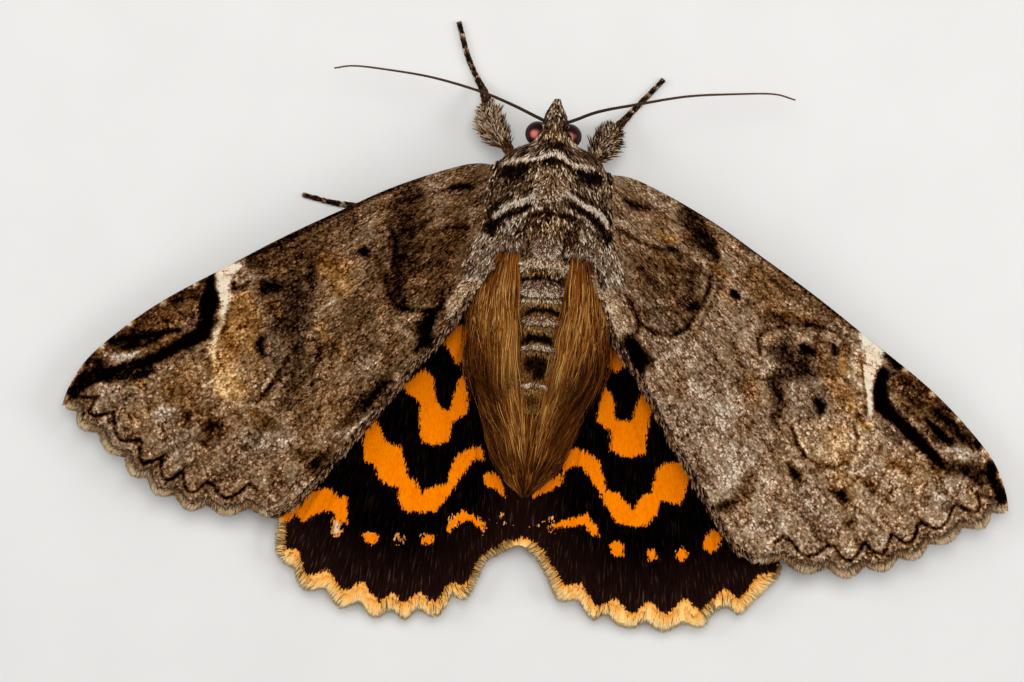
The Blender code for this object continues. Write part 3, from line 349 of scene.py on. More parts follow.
    (((17.7, 10.8, 0.22), (18, 11.1, 0.28), (17.95, 11.7, 0.12)), 0.15, 0.04, 0, 0.95),
    (((14.9, 9.6, 0.35), (15.4, 10.8, 0.35), (15.3, 12, 0.3)), 0.35, 0.2, 0.2, 0.88),
    (((15.4, 10.6, 0.2),), 0.2, 0.04, 0.1, 0.8),
    (((16.1, 9.9, 0.08), (16.3, 11.4, 0.1), (16.4, 12.2, 0.1)), 0.12, 0.72, -0.1, 0.7),
    (((18.5, 13.3, 1.6), (19.1, 13.3, 1.45)), 0.25, 0.61, 0.45, 0.95),
    (((19.2, 12.9, 0.6), (19.4, 13.9, 0.5)), 0.4, 0.64, 0.8, 0.8),
    (((17.6, 13.2, 0.4), (17.2, 12.6, 0.3)), 0.3, 0.63, 0.1, 0.8),
    (((16.2, 12.4, 0.08), (16.7, 13.5, 0.11), (17.3, 14.3, 0.12)), 0.12, 0.06, 0.2, 0.9),
    (((16.55, 12.6, 0.06), (17, 13.6, 0.09), (17.6, 14.3, 0.07)), 0.1, 0.82, 0.2, 0.85),
    (((17.6, 14.5, 0.06), (18.4, 14.85, 0.07), (19.3, 14.8, 0.08), (20, 14.4, 0.06)), 0.1, 0.1, 0.7, 0.9),
    (((20.2, 12.2, 0.06), (20.5, 12.9, 0.08), (20.4, 13.6, 0.07)), 0.1, 0.1, 0.4, 0.9),
    (((20.9, 12.9, 0.14), (20.8, 13.7, 0.14), (20.3, 14.4, 0.12)), 0.15, 0.78, 0.8, 0.9),
    (((20.6, 12.2, 0.2), (21.2, 12, 0.2)), 0.15, 0.68, 1.2, 0.9),
    (((20.3, 11.4, 0.12), (21.2, 12.4, 0.1)), 0.12, 0.16, 0.8, 0.8),
    (((20.2, 7.6, 0.4), (20, 8.8, 0.5), (20.3, 9.8, 0.35)), 0.3, 0.78, 0.45, 0.8),
    (((16.3, 14.9, 0.12), (16.7, 15.4, 0.3), (17.1, 15.9, 0.15)), 0.2, 0.08, 0, 0.95),
    (((15.6, 13.4, 0.5), (15.3, 14.8, 0.5)), 0.5, 0.5, 0.2, 0.8),
    (((19.6, 15.5, 0.5), (20.6, 15.7, 0.3)), 0.4, 0.64, 0.75, 0.85),
    (((19.1, 16.3, 0.12), (19.8, 16.5, 0.3), (20, 17.2, 0.12)), 0.18, 0.08, 0.6, 0.95),
    (((21.4, 15.4, 0.2), (21.8, 15.9, 0.2)), 0.25, 0.34, 1, 0.85),
    (((23, 13.6, 0.9), (24.2, 15.2, 0.8)), 0.7, 0.58, 0.35, 0.85),
    (((22.6, 14.3, 0.22), (23.6, 14.5, 0.25)), 0.3, 0.34, 0.95, 0.85),
    (((25.4, 14.2, 0.25), (25.7, 14.5, 0.2)), 0.2, 0.28, 1.1, 0.9),
    (((22.2, 12.2, 0.4), (23, 12.8, 0.4)), 0.35, 0.44, -0.2, 0.85),
    (((21.6, 13.2, 0.35), (21.8, 14, 0.3)), 0.35, 0.62, 0.2, 0.7),
    (((26.6, 15.8, 0.8), (27.4, 15.2, 0.5)), 0.6, 0.58, 0.1, 0.85),
    (((24.6, 17, 0.8), (22.2, 17.6, 0.8)), 0.7, 0.58, 0.25, 0.85),
    (((17.6, 17.2, 1), (18.4, 18.8, 0.8)), 0.8, 0.53, -0.05, 0.85),
    (((15, 18.4, 1), (14.2, 19.4, 0.6)), 0.7, 0.62, 0, 0.85),
    (((20.1, 18.3, 0.22), (20.5, 18.2, 0.15)), 0.25, 0.26, 0.3, 0.85),
    (((21, 19.3, 0.18),), 0.2, 0.2, 0.3, 0.8),
    (((24.9, 17.7, 0.2),), 0.2, 0.22, 0.6, 0.8),
    (((26.6, 16.7, 0.16),), 0.15, 0.22, 0.6, 0.8),
    (((8.4, 9, 1), (10.4, 11.6, 2), (12.6, 15.4, 1.9)), 1.1, 0.64, -0.02, 0.92),
    (((8.3, 9.8, 0.5), (9, 11.2, 0.5)), 0.5, 0.58, 0.35, 0.8),
    (((12.2, 7.8, 0.12), (12.9, 9.2, 0.12), (13.2, 10.6, 0.1)), 0.2, 0.36, 0.6, 0.7),
    (((13.5, 9.6, 0.4), (13.9, 11.2, 0.5)), 0.4, 0.56, 0.7, 0.85),
    (((13.2, 13, 0.6), (13.8, 12.6, 0.4)), 0.5, 0.48, 0.35, 0.8),
    (((14, 15.9, 0.35), (13.6, 16.9, 0.35)), 0.4, 0.24, 0.3, 0.85),
    (((12.4, 17.9, 0.3), (13, 17.6, 0.2)), 0.25, 0.1, 0.2, 0.85),
    (((11.6, 16.6, 0.3), (10.4, 15.4, 0.12)), 0.3, 0.44, 0.3, 0.6),
    (((10.8, 8.8, 0.4), (11.7, 9.6, 0.35)), 0.4, 0.48, 0.2, 0.7),
    (((5.7, 8.2, 0.45), (6.4, 9.1, 0.6), (6.4, 10, 0.4)), 0.25, 0.06, 0.1, 0.97),
    (((6.9, 7.9, 0.12), (7.2, 9.6, 0.12)), 0.15, 0.3, 0.6, 0.7),
    (((7, 10.2, 0.3), (7.6, 10.8, 0.3)), 0.2, 0.66, 0.2, 0.85),
    (((7, -1.5, 0.08), (9, -0.7, 0.2), (12, 1.05, 0.2), (16, 3.45, 0.22), (19.9, 5.85, 0.22)), 0.22, 0.06,
     0.3, 0.92),
    (((22.5, 8, 0.4), (24.6, 10, 0.75), (26.8, 11.9, 0.6), (28.4, 13, 0.3)), 0.35, 0.24, 0.55, 0.92),
    (((22.3, 9.4, 0.3), (23.4, 10.4, 0.45), (24.6, 11.5, 0.4), (25.5, 12.5, 0.25)), 0.22, 0.48, 0.45, 0.95),
    (((23.2, 10.5, 0.05), (24.4, 11.6, 0.06), (25.4, 12.7, 0.05)), 0.1, 0.2, 0.4, 0.7),
    (((24.4, 10.1, 0.15), (25.6, 11.2, 0.2)), 0.25, 0.38, 0.6, 0.8),
    (((22, 7.6, 0.25), (22.6, 8, 0.35)), 0.2, 0.07, 0.3, 0.95),
    (((21.7, 8.7, 0.35), (21.6, 9.8, 0.45), (21.8, 10.7, 0.5), (22.8, 11.5, 0.38), (23.7, 12.3, 0.4),
     (24.6, 13, 0.38), (25.6, 13.8, 0.3), (26.3, 14.4, 0.15)), 0.15, 0, 0.1, 1),
    (((24.6, 11.2, 0.14), (25.5, 12.1, 0.28), (26.3, 12.8, 0.3)), 0.18, 0.03, 0.1, 0.97),
    (((26.9, 12.2, 0.1), (28, 13, 0.15)), 0.18, 0.1, 0.4, 0.85),
    (((26.1, 13, 0.14), (27, 13.4, 0.4), (28.4, 13.3, 0.22)), 0.18, 0.66, 0, 0.95),
    (((26.7, 14.2, 0.3), (27.6, 14.4, 0.35)), 0.3, 0.3, 0, 0.8),
    (((28.3, 13.9, 0.15), (28.9, 14.8, 0.2)), 0.2, 0.08, 0.2, 0.85),
    (((28.9, 13.7, 0.12), (29.4, 14.6, 0.3), (29.9, 15.6, 0.25)), 0.2, 0.22, 0.5, 0.9),
    (((29.75, 14, 0.12), (30, 15, 0.13)), 0.12, 0.8, 0.6, 0.95),
    (((29.2, 16, 0.1), (30.2, 15.9, 0.2)), 0.15, 0.08, 0.1, 0.85),
    (((20.4, 6.55, 0.4), (21.1, 7.4, 0.52), (20.95, 8.4, 0.42), (20.75, 9.4, 0.35), (20.95, 10.4, 0.22),
     (21.15, 11.3, 0.13)), 0.14, 0.97, 0.2, 1),
    (((20.15, 7.6, 0.04), (20.5, 9.2, 0.06), (20.75, 10.4, 0.05), (20.9, 11.3, 0.05)), 0.08, 0.2, 0.6, 0.8),
    (((22.5, 9, 0.45), (24.2, 10.5, 0.5)), 0.4, 0.28, 0.3, 0.7),
    (((27.9, 12.7, 0.3), (25.4, 10.8, 0.28)), 0.2, 0.12, 0.1, 0.8),
    (((26.6, 14.2, 0.45), (27.8, 14.2, 0.5), (28.7, 14.9, 0.45)), 0.3, 0.2, 0.1, 0.9),
    (((26.2, 13.2, 0.3), (27.4, 13.4, 0.4), (28, 13.6, 0.3)), 0.25, 0.62, -0.2, 0.75),
    (((29, 13.9, 0.3), (29.4, 15, 0.35), (29.9, 16, 0.3)), 0.12, 0.04, 0.1, 0.95),
    (((29.6, 13.9, 0.09), (30.05, 15.1, 0.1)), 0.08, 0.8, 0.5, 0.9),
)}
COSTAL_DASHES = {LEFT: (21.7, 23.6, 25.6, 27.2, 28.4), RIGHT: (23.2, 25.0, 26.8, 28.6, 29.7)}
FOREWING_GROUND = {LEFT: (0.50, 0.32), RIGHT: (0.60, 0.15)}
# What the outer part of the wing gains in lightness and warmth, and its golden middle in lightness.
OUTER_GAIN = {LEFT: (0.065, 0.0), RIGHT: (0.045, 0.10)}
GOLDEN_GAIN = {LEFT: 0.07, RIGHT: 0.0}


def smooth_line(points, count):
    """Catmull-Rom curve through the points, read at count places an equal length apart."""
    knots = np.array(points, float)
    padded = np.vstack((2 * knots[0] - knots[1], knots, 2 * knots[-1] - knots[-2]))
    t = np.linspace(0, 1, 24, endpoint=False)[:, None]
    before, start, end, after = (padded[i:len(padded) - 3 + i, None, :] for i in range(4))
    fine = 0.5 * (2 * start + (end - before) * t + (2 * before - 5 * start + 4 * end - after) * t ** 2
                  + (3 * start - before - 3 * end + after) * t ** 3)
    fine = np.vstack((fine.reshape(-1, knots.shape[1]), knots[-1:]))
    length = np.concatenate(([0], np.cumsum(np.linalg.norm(np.diff(fine, axis=0), axis=1))))
    at = np.linspace(0, length[-1], count)
    return np.column_stack([np.interp(at, length, column) for column in fine.T])


def stroke_depth(points, path):
    """How deep each point lies in a stroke: its half width less the distance to its line, at most."""
    path = np.array(path, float)
    if len(path) == 1:
        path = np.vstack((path, path + (1e-4, 0, 0)))
    depth = np.full(len(points), -99.0)
    for start, end in zip(path[:-1], path[1:]):
        span = end[:2] - start[:2]
        share = np.clip((points - start[:2]) @ span / (span @ span), 0, 1)
        apart = np.linalg.norm(points - start[:2] - share[:, None] * span, axis=1)
        depth = np.maximum(depth, start[2] + share * (end[2] - start[2]) - apart)
    return depth


def paint(tone, points, marks):
    """Lay the marks over the lightness and warmth of each point, in their order."""
    for path, soft, light, warm, cover in marks:
        share = cover * np.clip(0.5 + 0.5 * stroke_depth(points, path) / soft, 0, 1)
        tone += share[:, None] * (np.array((light, warm)) - tone)
    return tone


def unit(vectors, least=0.0):
    """Each vector over its own length, to which least is added where that may be nought."""
    return vectors / (np.linalg.norm(vectors, axis=-1, keepdims=True) + least)


def beside(line):
    """Unit vectors square to a flat line, a quarter turn round from the way ahead."""
    ahead = np.gradient(line, axis=0)
    return unit(np.column_stack((-ahead[:, 1], ahead[:, 0])))


def read_at(line, at):
    """The line's rows at places that are numbered as its rows are, with those between blended."""
    return np.stack([np.interp(at, np.arange(len(line)), column) for column in line.T], -1)


def grid_quads(rows, columns):
    """Corner numbers of the quads of a grid of points, row by row."""
    first = np.arange(rows - 1)[:, None] * columns + np.arange(columns - 1)
    return np.stack((first, first + 1, first + columns + 1, first + columns), -1).reshape(-1, 4)


def new_piece(name, verts, quads, triangles, material, replaced=()):
    """A smooth mesh piece with outward faces, which rides on the body and stands for its nodes."""
    mesh = bpy.data.meshes.new(name)
    verts = placed(verts).astype(np.float32)
    quads = np.asarray(quads, np.int32).reshape(-1, 4)
    triangles = np.asarray(triangles, np.int32).reshape(-1, 3)
    corners = np.concatenate((quads.ravel(), triangles.ravel()))
    starts = np.concatenate((np.arange(len(quads)) * 4, len(quads) * 4 + np.arange(len(triangles)) * 3))
    mesh.vertices.add(len(verts))
    mesh.vertices.foreach_set("co", verts.ravel())
    mesh.loops.add(len(corners))
    mesh.loops.foreach_set("vertex_index", corners)
    mesh.polygons.add(len(starts))
    mesh.polygons.foreach_set("loop_start", starts.astype(np.int32))
    mesh.update(calc_edges=True)
    mesh.validate()
    mesh.shade_smooth()
    mesh.materials.append(material)
    piece = bpy.data.objects.new(name, mesh)
    bpy.context.scene.collection.objects.link(piece)
    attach(piece, "root")
    if replaced:
        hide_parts(*replaced)
    return piece


def keep_values(piece, name, values):
    """Keep up to four numbers a vertex on the piece, where its material reads them."""
    padded = np.ones((len(values), 4), np.float32)
    padded[:, :values.shape[1]] = values
    layer = piece.data.attributes.new(name, "FLOAT_COLOR", "POINT")
    layer.data.foreach_set("color", padded.ravel())


def keep_map(piece, name, flat):
    """Keep a UV map from one pair of numbers a vertex."""
    corners = np.zeros(len(piece.data.loops), np.int32)
    piece.data.loops.foreach_get("vertex_index", corners)
    layer = piece.data.uv_layers.new(name=name)
    layer.data.foreach_set("uv", flat.astype(np.float32)[corners].ravel())


def fan_map(wing, ahead, aside):
    """Keep the map of scales that lie along rays: how far out, and how far round at 30 mm."""
    lie = np.column_stack((np.hypot(ahead, aside), 30.0 * np.arctan2(aside, ahead)))
    keep_map(wing, "scales", np.vstack((lie, lie + 50)))


def shell(top, bottom):
    """Vertices and quads of a closed thin shell between two grids of the same shape."""
    rows, columns = top.shape[:2]
    count = rows * columns
    quads = grid_quads(rows, columns)
    number = np.arange(count).reshape(rows, columns)
    rim = np.concatenate((number[0, :-1], number[:-1, -1], number[-1, :0:-1], number[:0:-1, 0]))
    ahead = np.roll(rim, -1)
    wall = np.column_stack((ahead, rim, rim + count, ahead + count))
    sheet = np.vstack((quads, quads[:, ::-1] + count, wall[:, ::-1]))
    verts = np.vstack((top.reshape(-1, 3), bottom.reshape(-1, 3)))
    a, b, c = (top.reshape(-1, 3)[quads[:, i]] for i in range(3))
    if np.cross(b - a, c - a)[:, 2].sum() < 0:
        sheet = sheet[:, ::-1]
    return verts, sheet


def membrane(name, plan, level, side, material):
    """A wing as one closed sheet over its plan, whose underside lies one thickness lower."""
    flat = plan.reshape(-1, 2) * (side, 1)
    upper = np.column_stack((flat, level)).reshape(*plan.shape[:2], 3)
    verts, quads = shell(upper, upper - (0, 0, MEMBRANE_THICKNESS))
    return new_piece(name + "_membrane", verts, quads, [], material, (name,))


def rim_fade(count):
    """Share of the fringe's depth that a margin's points get, which dies away at both ends."""
    return np.sin(np.pi * np.linspace(0, 1, count))[:, None] ** 0.3


def patch(low, high, start, end, bulge, fade):
    """A four-sided sheet in plan between costa and inner edge, root and margin.

    Each point is the blend of the two opposite edge points both ways, less that of the corners.
    The scallops' bulge is added with the row's share raised to the power fade, so it dies inwards.
    """
    rows, columns = len(low), len(start)
    s = np.linspace(0, 1, rows)[:, None, None]
    t = np.linspace(0, 1, columns)[None, :, None]
    flat = (1 - t) * low[:, None] + t * high[:, None] + (1 - s) * start[None] + s * end[None]
    flat -= ((1 - s) * (1 - t) * low[0] + (1 - s) * t * high[0] + s * (1 - t) * low[-1] + s * t * high[-1])
    return flat + s ** fade * bulge[None]


def scalloped(lobes, count, depth):
    """A margin through the lobe tips, and how far the notches between them draw it inwards.

    The dent is the depth times one less the absolute cosine of half a turn a lobe.
    """
    tips = np.array(lobes, float)
    lobe = np.linspace(0, len(tips) - 1, count)
    inward = beside(smooth_line(tips, count))
    dent = depth * (1 - np.abs(np.cos(np.pi * (lobe % 1))))
    return read_at(tips, lobe), dent[:, None] * inward, inward


def forewing_place(points, side):
    """The common pattern stretched to one wing: its apex and tornus land on that side's own."""
    base = np.array(FOREWING_BASE)
    ends = np.array(FOREWING_ENDS[side]) - base
    stretch = np.linalg.solve(np.array((FOREWING_APEX, FOREWING_TORNUS)), ends)
    return base + np.array(points, float) @ stretch


def forewing_level(x, y):
    """Height of the forewing's upper face: high at the thorax, settling outwards, lowest at the apex."""
    away = np.hypot(x - 3.6, y - 1.0)
    beyond = np.clip((x - 16.0) / 14.0, 0, 1)
    return 2.05 + 2.30 * np.exp(-(away / 13.0) ** 2) - 0.70 * beyond ** 2 + 0.25


def ridge(points, veins, height, half_width):
    """Height of rounded ridges along the veins: a bell curve of the distance to the nearest."""
    nearest = np.full(len(points), 99.0)
    for vein in veins:
        line = smooth_line(vein, 14)
        path = np.column_stack((line, np.zeros(len(line))))
        nearest = np.minimum(nearest, -stroke_depth(points, path))
    return height * np.exp(-(nearest / half_width) ** 2)


def sums(tree, operation, first, second=0.0, third=0.0, clamp=False):
    """The result socket of one Math node."""
    inputs = {0: first, 1: second, 2: third}
    return add_node(tree, "ShaderNodeMath", inputs, operation=operation, use_clamp=clamp).outputs[0]


def linear(tree, value, factor, offset, clamp=False):
    """The value times the factor plus the offset."""
    return sums(tree, "MULTIPLY_ADD", value, factor, offset, clamp)


def ramp(tree, factor, stops):
    """The colour socket of a ramp through (position, colour) stops."""
    made = add_node(tree, "ShaderNodeValToRGB", {"Fac": factor})
    elements = made.color_ramp.elements
    for place, (position, colour) in enumerate(stops):
        stop = elements[place] if place < 2 else elements.new(position)
        stop.position = position
        stop.color = (*colour, 1)
    return made.outputs["Color"]


def channels(tree, colour):
    """The three numbers of a colour, as separate sockets."""
    return tuple(add_node(tree, "ShaderNodeSeparateColor", {0: colour}).outputs)


def attribute(tree, name):
    """The three numbers kept under the name, as separate sockets."""
    return channels(tree, add_node(tree, "ShaderNodeAttribute", attribute_name=name).outputs["Color"])


def stretched(tree, where, along, across):
    """The place socket of a Mapping node that multiplies a place along and across the scales."""
    return add_node(tree, "ShaderNodeMapping", {"Vector": where, "Scale": (along, across, 1.0)}).outputs[0]


def scale_cells(tree, lie, along, across):
    """One cell for each scale: its three chance numbers, and how far a place is from its middle."""
    place = stretched(tree, lie, along, across)
    cell = add_node(tree, "ShaderNodeTexVoronoi", {"Vector": place, "Scale": 1.0})
    return channels(tree, cell.outputs["Color"]), cell.outputs["Distance"]


def roughened(tree, shader, height, strength, distance=0.00005):
    """Let the light fall as on a surface with that height, where one stands for distance metres."""
    bump = add_node(tree, "ShaderNodeBump", {"Height": height, "Strength": strength, "Distance": distance})
    tree.links.new(bump.outputs[0], shader.inputs["Normal"])


GREY_STOPS = ((0.0, (0.0010, 0.0003, 0.0001)), (0.25, (0.040, 0.0145, 0.005)), (0.5, (0.150, 0.076, 0.037)),
              (0.75, (0.41, 0.252, 0.160)), (1.0, (0.88, 0.74, 0.60)))
WARM_STOPS = ((0.0, (0.0012, 0.0003, 0.0001)), (0.25, (0.052, 0.015, 0.002)), (0.5, (0.190, 0.078, 0.016)),
              (0.75, (0.46, 0.235, 0.075)), (1.0, (0.93, 0.66, 0.32)))


def scale_colour(tree, light, warm):
    """Colour of scales: from black over brown to cream, mixed from a grey row and an ochre one."""
    return blended(tree, warm, ramp(tree, light, GREY_STOPS), ramp(tree, light, WARM_STOPS))


def wing_scales(name):
    """Material of the forewings: each scale is one cell with its own lightness round the mark's."""
    surface, tree, shader = new_material(name, 0.72, 0.0)
    light, warm, across = attribute(tree, "tone")
    lie = add_node(tree, "ShaderNodeUVMap", uv_map="scales").outputs[0]
    chance, off_middle = scale_cells(tree, lie, 6.6, 10.0)
    grit = noise(tree, stretched(tree, lie, 4.4, 9.0), 1.0, 2.0, Roughness=0.6, Distortion=0.8)
    mottle = noise(tree, lie, 0.75, 3.0, Roughness=0.55, Distortion=1.2)
    drift = noise(tree, lie, 0.40, 2.0)
    blotch = noise(tree, lie, 1.1, 3.0, Roughness=0.6, Distortion=0.8)
    rough = linear(tree, blotch, 3.0, -1.1, clamp=True)
    streak = noise(tree, stretched(tree, lie, 0.7, 4.5), 1.0, 3.0)
    speck = linear(tree, chance[0], 0.60, -0.20)
    speck = sums(tree, "ADD", speck, linear(tree, grit, 0.85, -0.425))
    speck = sums(tree, "ADD", speck, linear(tree, off_middle, -0.35, 0.16))
    speck = sums(tree, "MULTIPLY", speck, linear(tree, rough, 0.65, 0.60))
    speck = sums(tree, "ADD", speck, linear(tree, mottle, 0.65, -0.325))
    speck = sums(tree, "ADD", speck, linear(tree, streak, 0.6, -0.30))
    speck = sums(tree, "MINIMUM", speck, sums(tree, "MULTIPLY", speck, 0.74))
    wander = linear(tree, across, 13.0, sums(tree, "MULTIPLY", drift, 5.0))
    line = linear(tree, sums(tree, "PINGPONG", wander, 0.5), -7.0, 1.0, clamp=True)
    speck = sums(tree, "SUBTRACT", speck, sums(tree, "MULTIPLY", line, 0.15))
    value = sums(tree, "ADD", linear(tree, light, 1.3, -0.21), speck, clamp=True)
    hue = sums(tree, "ADD", warm, linear(tree, chance[1], 0.3, -0.15))
    hue = sums(tree, "ADD", hue, linear(tree, drift, 0.6, -0.3))
    painted = scale_colour(tree, value, sums(tree, "MULTIPLY", hue, 1.0, clamp=True))
    reddish = linear(tree, blotch, 2.4, -0.95)
    reddish = sums(tree, "ADD", reddish, linear(tree, hue, 0.5, -0.1), clamp=True)
    tint = blended(tree, reddish, (0.90, 1.02, 1.06, 1.0), (1.10, 0.96, 0.88, 1.0))
    coloured(tree, shader, blended(tree, 1.0, painted, tint, "MULTIPLY"))
    roughened(tree, shader, sums(tree, "ADD", off_middle, sums(tree, "MULTIPLY", grit, 1.2)), 0.7)
    return surface


forewing_scales = wing_scales("forewing_scales")
forewing_margins = {}
for side, side_name in SIDE_NAMES.items():
    costa = forewing_place(smooth_line(FOREWING_COSTA, FOREWING_ROWS), side)
    inner = forewing_place(smooth_line(FOREWING_INNER, FOREWING_ROWS), side)
    lobes = forewing_place(FOREWING_LOBES, side)
    margin, bulge, inward = scalloped(lobes, FOREWING_COLUMNS, SCALLOP_DEPTH)
    forewing_margins[side] = margin + bulge
    root = np.linspace(costa[0], inner[0], FOREWING_COLUMNS)
    bulge_out = bulge + FRINGE_DEPTH * inward * rim_fade(FOREWING_COLUMNS)
    plan = patch(costa, inner, root, margin, bulge_out, FOREWING_FADE)
    flat = plan.reshape(-1, 2)
    veins = [forewing_place(vein, side) for vein in FOREWING_VEINS]
    level = forewing_level(flat[:, 0], flat[:, 1])
    level += ridge(flat, veins, *FOREWING_VEIN) - VEIN_SINK
    wing = membrane(f"forewing_{side_name}", plan, level, side, forewing_scales)
    tone = np.tile(FOREWING_GROUND[side], (len(flat), 1))
    tone = paint(tone, flat, FOREWING_MARKS[side])
    outer = np.clip((flat[:, 1] + 0.55 * flat[:, 0] - 20.5) / 3, 0, 1)
    golden = np.exp(-((flat[:, 0] - 18.5) ** 2 / 2.6 + (flat[:, 1] - 10.5) ** 2 / 9.0))
    tone[:, 0] += GOLDEN_GAIN[side] * golden
    tone += np.array(OUTER_GAIN[side]) * outer[:, None]
    dashes = [((x, np.interp(x, costa[:, 0], costa[:, 1]) + 0.05, 0.24),) for x in COSTAL_DASHES[side]]
    tone = paint(tone, flat, [(dash, 0.15, 0.88, 0.45, 0.9) for dash in dashes])
    pale_zone = np.column_stack((margin + 1.4 * bulge + 0.80 * inward, np.full(len(margin), 0.18)))
    toothed = np.column_stack((margin + 2.0 * bulge + 1.15 * inward, np.full(len(margin), 0.07)))
    tone = paint(tone, flat, ((pale_zone[4:-4:3], 0.12, 0.58, 0.25, 0.7),
                              (toothed[4:-4:3], 0.09, 0.0, 0.3, 0.95)))
    tone[:, 0] -= ridge(flat, veins, 0.10, 0.14)
    tone[:, 0] += 0.15 * np.clip(tone[:, 0] - 0.62, 0, 1) - 1.0 * np.clip(0.22 - tone[:, 0], 0, 1)
    aim = flat - np.array(FOREWING_BASE) + SCALE_FAN
    rows, columns = plan.shape[:2]
    share = np.repeat(np.linspace(0, 1, rows), columns)
    under = tone * (0.4, 0.6) + (0.30, 0.28)
    tone = np.vstack((np.column_stack((tone, share)), np.column_stack((under, share))))
    keep_values(wing, "tone", tone)
    fan_map(wing, aim[:, 0], aim[:, 1])


# Hindwings: softer membranes under the forewings, black with orange bands in rows, and a deep
# rim where long pale scales stand out as a fringe. They meet behind the tip of the abdomen.
HINDWING_COSTA = {LEFT: (
    (3.9, 2.7), (7, 4.4), (10.6, 8.6), (13.4, 13.6), (14.9, 18), (15.3, 21),
), RIGHT: (
    (3.9, 2.7), (7.2, 4.4), (11.2, 8.6), (14.2, 13.6), (15.9, 18), (16.4, 21),
)}
HINDWING_INNER = ((2.4, 3.4), (2.3, 6.0), (1.9, 10.0), (1.2, 13.5), (0.35, 16.2), (0.0, 17.6),
                  (0.0, 19.5), (0.0, 21.35))
HINDWING_RIM = {LEFT: (
    (15.3, 21), (15.4, 21.9), (15.3, 23.2), (14.7, 23.9), (14.1, 24.2), (13.7, 25.1), (13.1, 25.5),
    (12.1, 25.3), (11.5, 26), (10.9, 26.4), (9.7, 26), (9.1, 26.7), (8.5, 26.8), (7.7, 26.3), (6.8, 26.8),
    (6.05, 26.1), (5, 26.5), (4.3, 25.8), (4, 25.05), (3.1, 25.2), (2.5, 24.1), (2, 22.7), (1.4, 22.3),
    (0.8, 21.9), (0, 21.45),
), RIGHT: (
    (16.4, 21), (16.6, 21.6), (16.1, 22.6), (15.1, 23.7), (14.2, 24.7), (13.3, 24.3), (12.5, 24.8),
    (11.9, 25.7), (10.7, 25.6), (9.4, 26.2), (8.3, 25.7), (7.5, 26.1), (6.6, 26), (5.8, 25.4), (5, 25.8),
    (4.4, 25.3), (3.9, 24.7), (3, 24.8), (2.5, 24.6), (1.9, 23.5), (1.2, 22.4), (0.5, 21.8), (0, 21.45),
)}
# Outer edge of the black, tooth by tooth.
HINDWING_BLACK = {LEFT: (
    (20, 20.9), (15, 20.9), (14.85, 22.9), (13.9, 22.9), (13.3, 24.6), (12, 24), (10.9, 25.3), (9.7, 24.6),
    (8.5, 25.8), (7.75, 25), (7, 25.8), (6, 24.9), (5, 25.6), (4.1, 24.1), (3.2, 24.4), (2.3, 22.6),
    (1.5, 21.9), (0.9, 21.4), (-0.5, 20.9), (-0.5, 0), (20, 0),
), RIGHT: (
    (20, 21.9), (16, 21.8), (15.2, 22), (14.1, 23.8), (13.1, 23.1), (11.7, 24.7), (10.6, 23.85), (9.6, 25.1),
    (8.45, 24.3), (7.4, 25.2), (6.3, 24.3), (5.2, 25), (4, 23.5), (3, 23.8), (2, 22.6), (1.2, 21.5),
    (0.6, 21.1), (-0.5, 20.8), (-0.5, 0), (20, 0),
)}
